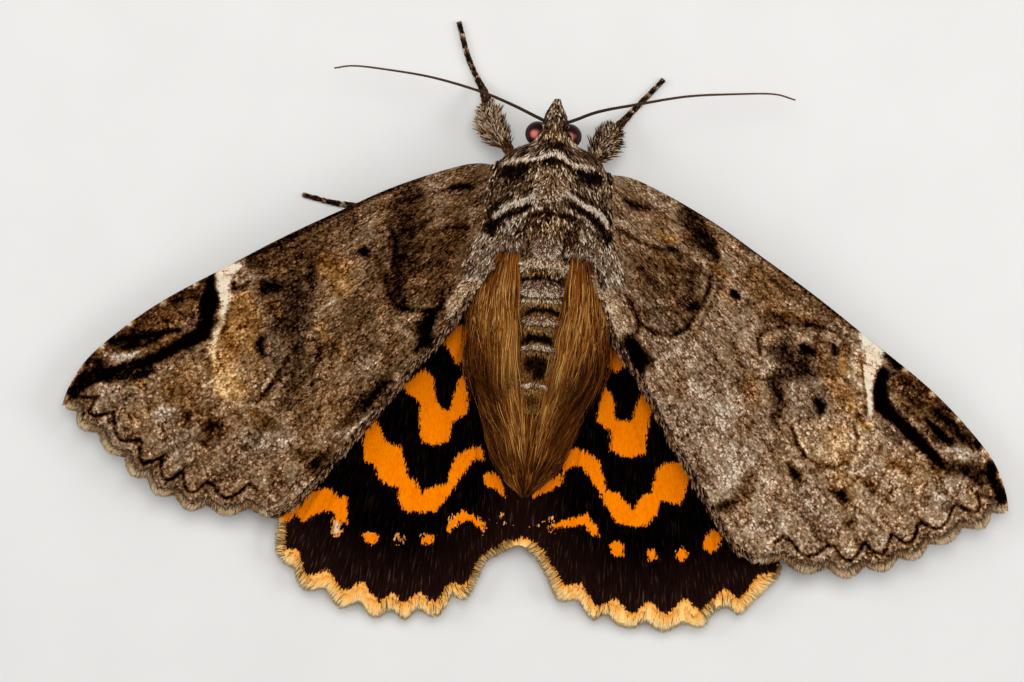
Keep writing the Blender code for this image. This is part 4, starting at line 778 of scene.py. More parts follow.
HINDWING_ORANGE = {LEFT: (
    ((5.2, 8), (4, 8), (3.9, 9.7), (4.9, 10.4), (5.8, 9.2), (5.6, 8.7)),
    ((6.9, 10.9), (6.3, 11.4), (6, 12.9), (5.5, 13.3), (5.1, 13.3), (4.9, 12.4), (4.7, 11.4), (4.4, 11),
     (4.05, 12.2), (4, 13.4), (4.6, 13.9), (4.9, 14), (5, 15.3), (6, 15.6), (6.6, 15.5), (6.85, 15),
     (6.9, 14), (7, 13), (7.9, 12.5), (8.1, 12)),
    ((9.7, 14.3), (9.2, 15.2), (8.9, 15.7), (8, 15.9), (7.8, 16.3), (7.5, 17.4), (7.3, 17.8), (6.9, 17.9),
     (6.4, 18.8), (6, 18.3), (5, 18), (4.8, 17.4), (4.55, 16.3), (4, 15.8), (3, 15.4), (2.8, 15.8),
     (2.7, 16.4), (3.2, 16.2), (3.55, 16.55), (4, 17.4), (4.4, 18.2), (4.9, 19), (5.55, 19.8), (6.7, 19.9),
     (7.4, 19.9), (7.9, 19.2), (7.9, 18.4), (8.55, 18.4), (9.1, 18.1), (9.55, 17.2), (10.2, 17), (10.4, 16),
     (10.3, 15.2), (10, 14.8)),
    ((2.6, 17.1), (2.5, 17.8), (1.8, 18.1), (1.1, 18.5), (1.7, 17.3), (2.2, 17)),
    ((14.2, 19.6), (13.3, 19.2), (12.7, 18.9), (12, 19), (11.8, 19.4), (11.1, 19.3), (10.95, 21),
     (11.7, 20.8), (11.8, 20.4), (12.4, 20.3), (13.2, 20.7), (13.7, 21.2), (14.2, 20.7), (14.7, 21.2),
     (16, 21.5), (16, 19.8)),
    ((9.9, 21.6), (9.5, 21.4), (8.9, 21.7), (9.2, 22.1), (9.7, 22.1)),
    ((6.2, 21.7), (5.8, 21.2), (5.4, 21.3), (5.6, 21.8), (6, 21.9)),
    ((4.7, 20.9), (4.3, 20), (3.8, 19.6), (3.2, 19.8), (2.4, 20.3), (2.4, 20.7), (3.3, 20.2), (3.9, 20.3),
     (4.4, 20.9)),
), RIGHT: (
    ((4.5, 8), (5.7, 9.6), (5.1, 10.1), (4.5, 9.8), (3.9, 9)),
    ((4.5, 11), (5, 11.6), (5.3, 13), (5.8, 13.1), (6.4, 13), (6.5, 12), (6.8, 11.2), (7.6, 12.2),
     (7.4, 13.2), (7.3, 15), (6.4, 15.4), (5.2, 15), (5.1, 13.8), (4.1, 13.2), (4.3, 12)),
    ((2.5, 15.3), (3, 15), (3.5, 15.2), (4.1, 15.4), (4.7, 16.05), (5, 17), (5.1, 17.6), (5.8, 17.6),
     (6.4, 18.1), (6.9, 18.7), (7.4, 17.75), (8, 17.4), (8.1, 16.05), (8.6, 15.55), (9.5, 15.4), (10, 15.7),
     (10.3, 16.4), (10.1, 17.1), (9.85, 18), (8.6, 17.9), (8.4, 18.7), (7.9, 19.5), (6.9, 19.65),
     (5.95, 19.5), (5.2, 18.6), (4.7, 17.6), (4, 16.8), (3.4, 16.05), (2.9, 16.2), (2.5, 16.5), (2.2, 17.5),
     (1.3, 18), (0.3, 18.5), (1.2, 17.4), (2.2, 16.8)),
    ((1.8, 20.4), (2.3, 19.7), (3.4, 19.4), (4, 19.1), (4.5, 19.7), (5, 20.5), (4.5, 20.4), (3.9, 19.8),
     (3, 20), (2.1, 20.1)),
    ((5.6, 21), (6.1, 20.6), (6.6, 20.9), (6.5, 21.6), (6, 21.6)),
    ((8, 21.2), (8.4, 21), (8.7, 21.5), (8.2, 21.7)),
    ((9.8, 21.3), (10.2, 20.7), (10.6, 21.1), (10.3, 21.6)),
    ((11.5, 20.6), (11.6, 19.8), (12.1, 19.4), (12.6, 19.7), (12.4, 20.6), (12, 20.9)),
)}
# Powdery pale or dim orange places: path of x, y and half width, softness of the rim and strength.
HINDWING_DUST = {LEFT: (
    (((11.6, 20.9, 0.3), (11.6, 21.5, 0.4)), 0.3, 1), (((7.6, 21.7, 0.45),), 0.3, 0.68),
    (((2.5, 20.1, 0.15), (2.4, 20.7, 0.25)), 0.3, 0.8), (((3.8, 19.8, 0.2), (0.2, 20.2, 0.2)), 0.3, 0.5),
    (((1.3, 19.6, 0.2),), 0.3, 0.55), (((5.9, 21.5, 0.45),), 0.3, 0.62), (((9.4, 21.8, 0.5),), 0.3, 0.62),
    (((4.2, 20.2, 0.5),), 0.3, 0.66), (((3, 22.2, 0.6), (3.2, 24.2, 0.4)), 0.8, 0.36),
), RIGHT: (
    (((1.9, 19.8, 0.3), (1.9, 20.4, 0.2)), 0.3, 0.82), (((3.6, 19.5, 0.2), (0.2, 20.2, 0.2)), 0.3, 0.52),
    (((3, 12.3, 0.22),), 0.2, 0.84), (((4.6, 19.9, 0.35),), 0.3, 0.66), (((6.1, 21.1, 0.45),), 0.3, 0.6),
    (((8.3, 21.4, 0.3),), 0.3, 0.62), (((10.1, 21.2, 0.4),), 0.3, 0.62), (((12.1, 20.2, 0.6),), 0.3, 0.6),
    (((1.5, 21.2, 0.5), (3.2, 23.2, 0.5)), 0.8, 0.36),
)}
HINDWING_VEINS = (
    ((3.6, 4), (6.2, 8), (9.2, 12.4), (12.6, 18.8), (14.6, 23.2)),
    ((9.2, 12.4), (11.6, 18.6), (12.8, 24.4)),
    ((7, 14.8), (9.6, 20), (10.6, 25.3)),
    ((7, 14.8), (8.2, 20), (8.5, 25.8)),
    ((6.4, 13.3), (6.8, 19.5), (6.8, 25.8)),
    ((3.3, 4.8), (4.8, 9.4), (5.6, 11.4), (7, 14.8)),
    ((5.6, 11.4), (5.2, 18), (5, 25.4)),
    ((3.6, 5.8), (3.4, 14), (3.1, 24.2)),
)
HINDWING_ROWS = 185
HINDWING_COLUMNS = 138
HINDWING_FADE = 12
HINDWING_VEIN = (0.12, 0.15)
HINDWING_FRINGE = 0.32
HINDWING_FAN = (4.5, -14.0)


def hindwing_level(x, y):
    """Height of the hindwing's upper face, falling from its root to a rim close to the floor."""
    away = np.hypot(x - 3.0, y - 3.4)
    return 0.95 + 1.95 * np.exp(-(away / 9.0) ** 2) + 0.25


def area_depth(points, outline):
    """Distance from each point to the closed outline, above nought inside it and below outside."""
    closed = np.vstack((outline, outline[:1]))
    apart = -stroke_depth(points, np.column_stack((closed, np.zeros(len(closed)))))
    x, y = points[:, 0], points[:, 1]
    within = np.zeros(len(points), bool)
    for (x0, y0), (x1, y1) in zip(closed[:-1], closed[1:]):
        if y0 != y1:
            within ^= ((y0 > y) != (y1 > y)) & (x < (x1 - x0) * (y - y0) / (y1 - y0) + x0)
    return np.where(within, apart, -apart)


def velvet_scales(name):
    """Material of the hindwings: hair-thin black scales, orange where the kept depth is above nought."""
    surface, tree, shader = new_material(name, 0.85, 0.0)
    orange, rim, dust = attribute(tree, "tone")
    lie = add_node(tree, "ShaderNodeUVMap", uv_map="scales").outputs[0]
    streak = noise(tree, stretched(tree, lie, 0.9, 11.0), 1.0, 3.0)
    chance, off_middle = scale_cells(tree, lie, 5.0, 12.0)
    ragged = sums(tree, "ADD", linear(tree, streak, 0.55, -0.275), linear(tree, chance[0], 0.20, -0.10))
    cover = linear(tree, sums(tree, "ADD", orange, ragged), 14.0, 0.5, clamp=True)
    dusted = sums(tree, "GREATER_THAN", dust, linear(tree, chance[1], 0.7, 0.28))
    black = ramp(tree, streak, ((0.30, (0.0004, 0.0002, 0.0003)), (0.58, (0.0012, 0.0006, 0.0005)),
                                (0.78, (0.022, 0.011, 0.007))))
    brown = ramp(tree, streak, ((0.35, (0.007, 0.0025, 0.0016)), (0.60, (0.016, 0.006, 0.004)),
                                (0.74, (0.09, 0.05, 0.035))))
    black = blended(tree, linear(tree, rim, 0.3, 1.0, clamp=True), black, brown)
    glow = ramp(tree, chance[2], ((0.0, (0.98, 0.19, 0.0)), (1.0, (1.0, 0.27, 0.0))))
    amber = ramp(tree, chance[2], ((0.0, (0.45, 0.13, 0.015)), (1.0, (0.95, 0.42, 0.10))))
    pale = blended(tree, linear(tree, dust, 8.0, -6.8, clamp=True), amber, (0.78, 0.62, 0.40, 1))
    rim_step = linear(tree, sums(tree, "ADD", rim, ragged), 12.0, 0.5, clamp=True)
    outward = linear(tree, rim, 2.2, 0.15, clamp=True)
    fringe = blended(tree, outward, (1.0, 0.34, 0.02, 1), (1.0, 0.68, 0.24, 1))
    colour = blended(tree, dusted, black, pale)
    colour = blended(tree, cover, colour, glow)
    coloured(tree, shader, blended(tree, rim_step, colour, fringe))
    roughened(tree, shader, sums(tree, "ADD", streak, off_middle), 0.5)
    return surface


hindwing_scales = velvet_scales("hindwing_scales")
hindwing_rims = {}
for side, side_name in SIDE_NAMES.items():
    costa = smooth_line(HINDWING_COSTA[side], HINDWING_ROWS)
    inner = smooth_line(HINDWING_INNER, HINDWING_ROWS)
    rim_line = smooth_line(HINDWING_RIM[side], HINDWING_COLUMNS)
    flow = smooth_line(rim_line[::12], HINDWING_COLUMNS)
    inward = beside(flow)
    hindwing_rims[side] = rim_line, inward
    root = np.linspace(costa[0], inner[0], HINDWING_COLUMNS)
    flow[-1] = rim_line[-1]
    bulge = rim_line - flow + HINDWING_FRINGE * inward * rim_fade(HINDWING_COLUMNS)
    plan = patch(costa, inner, root, flow, bulge, HINDWING_FADE)
    flat = plan.reshape(-1, 2)
    level = hindwing_level(flat[:, 0], flat[:, 1])
    level += ridge(flat, HINDWING_VEINS, *HINDWING_VEIN) - VEIN_SINK
    wing = membrane(f"hindwing_{side_name}", plan, level, side, hindwing_scales)
    orange = np.full(len(flat), -9.0)
    for outline in HINDWING_ORANGE[side]:
        orange = np.maximum(orange, area_depth(flat, np.array(outline)))
    rim = -area_depth(flat, np.array(HINDWING_BLACK[side]))
    dust = np.zeros(len(flat))
    for path, soft, cover in HINDWING_DUST[side]:
        dust = np.maximum(dust, cover * np.clip(0.5 + 0.5 * stroke_depth(flat, path) / soft, 0, 1))
    tone = np.column_stack((np.clip(orange, -1, 1), np.clip(rim, -4, 1), dust))
    keep_values(wing, "tone", np.vstack((tone, tone)))
    aim = flat - HINDWING_FAN
    fan_map(wing, aim[:, 1], aim[:, 0])


# Fringes: every wing ends in a row of long narrow scales that stand straight out from its rim,
# in two layers. On the forewings they are tan and brown, on the hindwings cream and orange.
FRINGE_LAYERS = 2
HINDWING_FRINGE_COUNT = 2300
FOREWING_FRINGE_COUNT = 2000
FRINGE_HALF = 0.034
FOREWING_FRINGE_REACH = 0.62
UP = np.array((0.0, 0.0, 1.0))
LONG_SCALE = np.array((0.75, 1.0, 0.85, 0.0))
BAKE_HALF = 0.0015
COAT_TOP = 7.59
draws = np.random.default_rng(11)


def lock_mesh(centres, outward, half_width, half_thickness, profile):
    """Vertices, quads and triangles of flat locks, three-cornered at each station, closed at a point.

    centres holds one row of stations a lock. At each, two corners lie half a width to the sides
    and the third half a thickness outwards, all times the profile, and the last one is the tip.
    """
    count, stations = centres.shape[:2]
    ahead = np.gradient(centres, axis=1)
    across = unit(np.cross(ahead, outward), 1e-12)
    up = unit(np.cross(across, ahead), 1e-12)
    wide = (half_width[:, None] * profile)[..., None] * across
    thick = (half_thickness[:, None] * np.maximum(profile, 0.4))[..., None] * up
    ring = np.stack((centres - wide, centres + wide, centres + thick), 2)[:, :-1]
    verts = np.concatenate((ring.reshape(count, -1, 3), centres[:, -1:]), 1)
    each = verts.shape[1]
    first = np.arange(count)[:, None, None] * each
    station = np.arange(stations - 2)[None, :, None] * 3
    quads = np.concatenate([np.stack([first + station + corner for corner in (p, p + 3, r + 3, r)], -1)
                            for p, r in ((0, 1), (1, 2), (2, 0))], 2).reshape(-1, 4)
    last, tip = 3 * (stations - 2), each - 1
    corners = ((0, 1, 2), (last, tip, last + 1), (last + 1, tip, last + 2), (last + 2, tip, last))
    triangles = (first + np.array(corners)[None]).reshape(-1, 3)
    return verts.reshape(-1, 3), quads, triangles


def new_coat(name, centres, outward, half_width, half_thickness, profile, tone, bake, material):
    """A piece of many locks, which keeps each one's tone, how far along it is, and its place to bake.

    tone holds lightness and warmth, one pair a lock or one pair a station.
    """
    half_width = np.broadcast_to(half_width, len(centres))
    half_thickness = np.broadcast_to(half_thickness, len(centres))
    centres[..., 2] = np.clip(centres[..., 2], 0.03, COAT_TOP)
    verts, quads, triangles = lock_mesh(centres, outward, half_width, half_thickness, profile)
    coat = new_piece(name, verts, quads, triangles, material)
    stations = centres.shape[1]
    each = 3 * (stations - 1) + 1
    along = np.append(np.repeat(np.linspace(0, 1, stations)[:-1], 3), 1.0)
    kept = np.empty((len(centres), each, 3))
    if tone.ndim == 2:
        tone = np.repeat(tone[:, None], stations, 1)
    kept[:, :-1, :2] = np.repeat(tone[:, :-1], 3, 1)
    kept[:, -1, :2] = tone[:, -1]
    kept[..., 2] = along
    keep_values(coat, "tone", kept.reshape(-1, 3))
    sideways = np.append(np.tile((-1.0, 1.0, 0.0), stations - 1), 0.0)
    patch_shape = np.column_stack((sideways, 2 * along - 1)) * BAKE_HALF
    keep_map(coat, "OFBake", (bake[:, None] + patch_shape).reshape(-1, 2))
    return coat


def fringe_scales(name, stops, fleck_stops, pale_colour):
    """Material of a fringe: colours from root to tip, paler or darker scale by scale as the tone says."""
    surface, tree, shader = new_material(name, 0.7, 0.1)
    light, paleness, along = attribute(tree, "tone")
    paler = sums(tree, "MULTIPLY", paleness, along, clamp=True)
    varied = blended(tree, paler, ramp(tree, along, stops), pale_colour)
    darker = sums(tree, "SUBTRACT", 1.0, light, clamp=True)
    coloured(tree, shader, blended(tree, darker, varied, ramp(tree, along, fleck_stops)))
    return surface


def wing_unwrap(place):
    """Where a scale's colours are kept on a flat map of the wings."""
    return np.column_stack((0.5 + place[:, 0] / 70.0, place[:, 1] / 40.0 + 0.2))


def fringe(name, line, inward, side, level_of, count, reach, tone, material, slot_name):
    """Long scales from inside the rim line out to it, each turned a little to one side."""
    at = np.sort(draws.uniform(2, len(line) - 3, count))
    place = read_at(line, at)
    turn = unit(read_at(inward, at) + draws.normal(0, 0.16, (count, 2)))
    length = reach(place, side) * draws.uniform(0.80, 1.05, count)
    t = np.linspace(0, 1, len(LONG_SCALE))
    tips = place + draws.uniform(-0.07, 0.13, count)[:, None] * turn
    flat = tips[:, None] + ((1 - t)[None, :] * length[:, None])[..., None] * turn[:, None]
    level = level_of(flat[..., 0], flat[..., 1])
    layer = draws.integers(0, FRINGE_LAYERS, count)
    droop = 0.10 * t[None, :] ** 2 * draws.uniform(0.2, 1, count)[:, None]
    level = level + (np.where(layer == 0, 0.02, -0.10)[:, None] - droop)
    centres = np.concatenate((flat * (side, 1), level[..., None]), 2)
    shade = np.column_stack(tone(place, draws.uniform(0, 1, (2, count)), side))
    return new_coat(name, centres, UP, FRINGE_HALF * draws.uniform(0.8, 1.2, count), 0.02, LONG_SCALE,
                    shade, wing_unwrap(place), material)


def nearest_apart(points, places):
    """Distance from each point to the nearest of the places."""
    return np.linalg.norm(points[:, None] - np.array(places)[None], axis=2).min(1)


hindwing_fringe = fringe_scales(
    "hindwing_fringe",
    ((0.0, (1.0, 0.40, 0.03)), (0.4, (1.0, 0.56, 0.13)), (1.0, (0.96, 0.72, 0.34))),
    ((0.2, (0.010, 0.004, 0.002)), (0.55, (0.05, 0.02, 0.006)), (0.85, (0.40, 0.24, 0.09))),
    (1.0, 0.88, 0.60, 1))
forewing_fringe = fringe_scales(
    "forewing_fringe",
    ((0.0, (0.020, 0.009, 0.004)), (0.20, (0.060, 0.028, 0.012)), (0.36, (0.40, 0.23, 0.11)),
     (0.62, (0.28, 0.145, 0.055)), (0.95, (0.62, 0.39, 0.17))),
    ((0.0, (0.05, 0.02, 0.008)), (1.0, (0.12, 0.055, 0.02))),
    (1.0, 0.80, 0.50, 1))


def beyond_black(place, side):
    """How far the rim lies beyond the black: little at the teeth, most between them."""
    return np.clip(-area_depth(place, np.array(HINDWING_BLACK[side])), 0.0, 1.3)


def hindwing_reach(place, side):
    """Length of the hindwing's fringe scales, which lets the black teeth show."""
    return 0.30 + 0.70 * beyond_black(place, side)


def hindwing_shade(place, chance, side):
    """Few dark scales between the teeth, many at their tips, and a browner rim behind the body."""
    dark = np.clip(0.85 - 1.3 * (beyond_black(place, side) - 0.35), 0.05, 0.85)
    middle = np.clip((3.0 - place[:, 0]) / 0.6, 0, 1)
    return np.where(chance[0] < dark, 0.10 + 0.3 * chance[1], 1.0 - 0.20 * middle), chance[1]


def forewing_reach(place, side):
    """Length of the forewing's fringe scales, the same all along either margin."""
    return np.full(len(place), FOREWING_FRINGE_REACH)


def forewing_shade(place, chance, side):
    """Cream at the tips of the lobes, mixed with many dark scales in the notches between them."""
    near = np.clip(1.5 - nearest_apart(place, forewing_place(FOREWING_LOBES, side)) / 0.7, 0, 1)
    return np.where(chance[0] < 0.55 - 0.45 * near, 0.2, 1.0), near * (0.4 + 0.6 * chance[1])


for side, side_name in SIDE_NAMES.items():
    line, inward = hindwing_rims[side]
    fringe(f"hindwing_{side_name}_fringe", line, inward, side, hindwing_level, HINDWING_FRINGE_COUNT,
           hindwing_reach, hindwing_shade, hindwing_fringe, "hindwing_scales")
    line = forewing_margins[side]
    inward = beside(smooth_line(line[::14], len(line)))
    fringe(f"forewing_{side_name}_fringe", line, inward, side, forewing_level, FOREWING_FRINGE_COUNT,
           forewing_reach, forewing_shade, forewing_fringe, "forewing_scales")


# Inner edges: loose scales, pale and dark, are rooted along the edge where each forewing ends over
# its hindwing. They lie back towards the rim and out over the edge, so its line is broken.
EDGE_COUNT = 600


def body_scales(name, roughness):
    """Material of skin and scales of head, thorax and legs: the tone's colour, darker at the roots."""
    surface, tree, shader = new_material(name, roughness, 0.04)
    light, warm, along = attribute(tree, "tone")
    grit = noise(tree, add_node(tree, "ShaderNodeTexCoord").outputs["Object"], 7000.0, 3.0)
    value = sums(tree, "ADD", light, linear(tree, grit, 0.5, -0.25))
    value = sums(tree, "ADD", value, linear(tree, along, 0.42, -0.26), clamp=True)
    coloured(tree, shader, scale_colour(tree, value, warm))
    return surface


coat_scales = body_scales("coat_scales", 0.7)
for side, side_name in SIDE_NAMES.items():
    line = forewing_place(smooth_line(FOREWING_INNER[2:], 200), side)
    ahead = unit(np.gradient(line, axis=0))
    outer = beside(line)
    at = draws.uniform(4, 196, EDGE_COUNT)
    near = at.astype(int)
    inset = draws.uniform(-0.05, 0.40, EDGE_COUNT)[:, None]
    lean = draws.uniform(0.05, 0.50, EDGE_COUNT)[:, None]
    reach = draws.uniform(0.35, 0.62, EDGE_COUNT)[:, None]
    t = np.linspace(0, 1, len(LONG_SCALE))[None, :, None]
    start = line[near] - inset * outer[near]
    flat = start[:, None] + reach[:, None] * t * (ahead[near] + lean * outer[near])[:, None]
    level = forewing_level(flat[..., 0], flat[..., 1]) + 0.01 + 0.05 * np.sin(math.pi * t[..., 0])
    centres = np.concatenate((flat * (side, 1), level[..., None]), 2)
    tone = np.column_stack((draws.choice((0.12, 0.42, 0.68), EDGE_COUNT), np.full(EDGE_COUNT, 0.20)))
    new_coat(f"forewing_{side_name}_inner_edge", centres, UP, 0.045, 0.014, LONG_SCALE, tone,
             wing_unwrap(line[near]), coat_scales)


# Body: head, collar, thorax and abdomen under one skin, since no seam shows on the living moth.
# The skin is dark and lies inside the coat of scales and hair that the next pieces lay over it.
# Row: y, half widths of the belly and of the back with its hair, underside, widest level and top.
BODY_ROWS = (
    (-6.4, 0.12, 0.12, 3.75, 3.85, 3.97),
    (-5.75, 0.45, 0.45, 3.35, 3.85, 4.2),
    (-5.25, 0.78, 0.78, 2.8, 3.6, 4.45),
    (-4.5, 1.2, 1.2, 2.35, 3.6, 4.85),
    (-3.7, 1.45, 1.45, 2.3, 3.7, 5.1),
    (-3.3, 2.3, 2.3, 2.1, 3.9, 5.55),
    (-2.7, 2.95, 2.95, 1.85, 4.1, 6.2),
    (-1.8, 3.3, 3.3, 1.6, 4.25, 6.8),
    (0, 3.45, 3.45, 1.4, 4.3, 7.2),
    (2, 3.2, 3.2, 1.45, 4.3, 6.8),
    (3.2, 2.85, 2.85, 1.6, 4.25, 6.3),
    (4.2, 2.5, 2.5, 1.75, 4.15, 5.9),
    (5, 2.5, 2.8, 1.7, 3.8, 5.7),
    (6.5, 2.6, 3.6, 1.5, 3.5, 5.5),
    (8, 2.65, 4.15, 1.3, 3.25, 5.25),
    (10, 2.5, 4.3, 1.2, 3, 4.85),
    (12, 2.2, 3.95, 1.15, 2.75, 4.4),
    (14, 1.8, 3.35, 1.2, 2.5, 3.9),
    (16, 1.2, 2.6, 1.5, 2.35, 3.3),
    (17.4, 0.6, 1.5, 1.92, 2.35, 2.85),
    (18.3, 0.15, 0.3, 2.1, 2.25, 2.45),
)
BODY_ROUNDNESS = 2.2
BODY_FRONT, BODY_BACK = -6.40, 18.30
SKIN_INSET = 0.16
# Raised flaps of close scales: share across the back, half width as such a share, start, length
# and rise. First the collar's two, then shoulders, middle crest, rear shield and rear tufts.
BODY_FLAPS = (
    (-0.48, 0.42, -3.30, 1.35, 0.28), (0.48, 0.42, -3.30, 1.35, 0.28),
    (-0.66, 0.30, -1.50, 3.10, 0.38), (0.66, 0.30, -1.50, 3.10, 0.38), (0.00, 0.24, -1.55, 2.30, 0.55),
    (0.00, 0.50, 0.80, 2.10, 0.34), (-0.74, 0.24, 1.60, 2.45, 0.42), (0.74, 0.24, 1.60, 2.45, 0.42),
    (0.00, 0.46, 2.70, 1.45, 0.40),
)
# Marks of head, collar and thorax, as those of the forewings but seen from above.
BODY_MARKS = (
    (((0.1, -6.6, 0.4), (0.15, -5, 1), (0.1, -4.2, 1.6)), 0.4, 0.42, 0.15, 1),
    (((0.3, -5.9, 0.25), (0.2, -5.3, 0.3)), 0.2, 0.34, 0.2, 0.8),
    (((0.1, -4.5, 0.35), (0.1, -4.1, 0.5)), 0.3, 0.58, 0.55, 0.9),
    (((2.3, -3.45, 0.05), (1.6, -3.8, 0.07), (1.1, -3.95, 0.07)), 0.08, 0.78, 0.2, 0.9),
    (((-0.9, -3.9, 0.06), (-1.3, -3.75, 0.11), (-1.9, -3.4, 0.06)), 0.08, 0.86, 0.1, 0.95),
    (((3.4, -2.8, 0.4), (1.6, -3.2, 0.42), (0.1, -3.45, 0.28), (-1.6, -3.15, 0.4), (-3.4, -2.7, 0.4)), 0.3,
     0.24, 0.1, 1),
    (((2.4, -3.1, 0.2), (1.2, -3.35, 0.22)), 0.2, 0.4, -0.1, 0.85),
    (((-0.9, -3.3, 0.15), (-1.8, -3, 0.15)), 0.2, 0.36, 0.1, 0.8),
    (((0.3, -3.55, 0.18), (-0.4, -3.5, 0.22)), 0.15, 0.03, 0.1, 1),
    (((0.9, -3.75, 0.04), (0.3, -3.85, 0.05)), 0.08, 0.02, 0.2, 0.9),
    (((3.4, -1.9, 0.7), (3.4, -0.4, 0.6)), 0.4, 0.32, 0.2, 0.9),
    (((-3.2, -1.5, 0.7), (-3.3, -0.4, 0.6)), 0.4, 0.34, 0.25, 0.9),
    (((1.1, -2.2, 0.25), (0.3, -2.5, 0.32), (-0.5, -2.5, 0.32), (-1.1, -2.05, 0.3)), 0.15, 0.04, 0.3, 1),
    (((1.5, -1.9, 0.34), (2.1, -1.65, 0.45), (2.7, -1.6, 0.42)), 0.12, 0, -0.2, 1),
    (((-1.6, -1.85, 0.32), (-2.2, -1.7, 0.42), (-2.75, -1.6, 0.4)), 0.12, 0.02, 0.2, 1),
    (((3.1, -2.15, 0.06), (2.5, -2.35, 0.08), (1.7, -2.48, 0.1), (1, -2.55, 0.11), (0.1, -2.98, 0.15),
     (-0.4, -3, 0.15), (-0.7, -2.6, 0.09), (-1.25, -2.33, 0.1), (-1.9, -2.25, 0.1), (-2.6, -2.25, 0.06)),
     0.08, 1.1, 0, 1),
    (((1, -1.6, 0.5), (0, -1.75, 0.42), (-0.9, -1.6, 0.5)), 0.25, 0.54, 0.35, 0.95),
    (((0.3, -1.1, 0.65), (-0.4, -0.7, 0.7)), 0.3, 0.64, 0.25, 0.95),
    (((-0.4, -0.9, 0.2), (-0.4, 0.1, 0.3)), 0.25, 0.54, 0.8, 0.9),
    (((1.6, -0.7, 0.3), (1.3, -0.5, 0.22)), 0.2, 0.24, 0.6, 0.9),
    (((1.3, -1.15, 0.09), (0.8, -1, 0.1), (0.4, -1.05, 0.06)), 0.1, 0, 0, 0.9),
    (((2.5, -0.8, 0.35), (2.6, -0.2, 0.25)), 0.3, 0.28, 0.3, 0.8),
    (((-1.7, -1, 0.25), (-2.4, -0.8, 0.3)), 0.3, 0.42, 0, 0.7),
    (((2.4, 0, 0.12), (3.2, 0.35, 0.16), (3.6, 0.9, 0.14)), 0.12, 0.06, 0.2, 0.95),
    (((-1.6, -0.45, 0.08), (-2.4, -0.1, 0.14), (-3.2, 0.15, 0.15), (-3.9, 0.9, 0.14)), 0.12, 0.04, 0.2,
     0.95),
    (((0.4, -0.95, 0.14), (1, -0.33, 0.16), (1.6, 0.08, 0.12), (2.25, 0.33, 0.14), (2.9, 0.75, 0.16),
     (3.3, 1.15, 0.13)), 0.08, 1.15, 0, 1),
    (((-1.1, -0.6, 0.1), (-1.4, -0.33, 0.13), (-2, 0.04, 0.13), (-2.7, 0.25, 0.15), (-3.3, 0.6, 0.16),
     (-3.8, 1.17, 0.13)), 0.08, 1.15, 0, 1),
    (((0.9, 0.3, 0.22), (0, 0.2, 0.25), (-0.8, 0.3, 0.2)), 0.2, 0.46, 0.15, 0.9),
    (((1.3, 0.45, 0.16), (2.2, 0.85, 0.2), (2.9, 1.25, 0.22), (3.5, 1.8, 0.35), (3.4, 2.5, 0.3)), 0.12, 0.03,
     0, 1),
    (((-1.6, 0.28, 0.16), (-2.4, 0.65, 0.2), (-3.2, 1.2, 0.24), (-3.75, 1.8, 0.24), (-3.95, 2.3, 0.15)),
     0.12, 0.03, 0.1, 1),
    (((2.5, 1.65, 0.09), (2, 1.2, 0.09), (1.3, 0.8, 0.09), (0.6, 0.52, 0.07)), 0.08, 0.8, -0.1, 1),
    (((-0.6, 0.52, 0.06), (-1.3, 0.52, 0.08), (-2.2, 0.85, 0.09), (-2.9, 1.5, 0.09)), 0.08, 0.78, 0, 1),
    (((0, 1.7, 1.15),), 0.3, 0.42, 0.55, 1),
    (((1.2, 1, 0.14), (0.4, 0.8, 0.17), (-0.6, 0.76, 0.17), (-1.5, 0.85, 0.14)), 0.1, 0.1, 0.7, 1),
    (((1.2, 1.45, 0.25), (0.8, 1.5, 0.2)), 0.2, 0.34, 0.3, 0.8),
    (((-1.5, 1.5, 0.3),), 0.25, 0.52, 0.4, 0.8),
    (((0.9, 2.4, 0.35), (0.7, 2.9, 0.25)), 0.25, 0.24, 0.5, 0.9),
    (((-1.4, 2.3, 0.4), (-1.3, 3.1, 0.3)), 0.25, 0.22, 0.4, 0.95),
    (((2.2, 1.8, 0.32), (2, 2.6, 0.42)), 0.25, 0.64, -0.1, 0.95),
    (((-2.4, 1.8, 0.35), (-2.5, 2.7, 0.45)), 0.25, 0.68, 0.25, 0.95),
    (((0, 2.5, 0.42), (0, 3.4, 0.62)), 0.3, 0.62, -0.1, 1),
    (((1.3, 4.1, 0.26), (0.8, 3.9, 0.22), (0, 4, 0.18), (-0.7, 3.8, 0.25), (-1.3, 4.1, 0.3)), 0.12, 0.8,
     0.35, 1),
    (((1, 4.45, 0.12), (0, 4.3, 0.16), (-0.9, 4.35, 0.12)), 0.08, 0.5, 1.1, 1),
)
BODY_GROUND = (0.38, 0.22)
body_line = smooth_line(np.array(BODY_ROWS), 500)


def body_at(y):
    """Underside, belly half width, back half width with hair, widest level and top at each y."""
    return [np.interp(y, body_line[:, 0], body_line[:, column]) for column in (3, 1, 2, 4, 5)]


def back_level(x, y, width):
    """Height of the oval back at each place, where the oval is as wide as width says."""
    middle, top = body_at(y)[3:]
    near = np.clip(np.abs(x) / width, 0, 1)
    return middle + (top - middle) * (1 - near ** BODY_ROUNDNESS) ** (1 / BODY_ROUNDNESS)


def flap_rise(share, y):
    """Height of the raised flaps: each climbs towards its rear edge and rounds off to its sides."""
    rise = np.zeros(np.broadcast(share, y).shape)
    for middle, half, start, length, height in BODY_FLAPS:
        sideways = (share - middle) / half
        along = (y - start) / length
        form = np.clip(1 - sideways ** 2, 0, 1) ** 0.6 * np.clip(along * 1.5 + 0.05, 0, 1)
        rise = np.maximum(rise, height * form * np.clip(1 - along, 0, 1) ** 0.25 * (along > 0))
    return rise


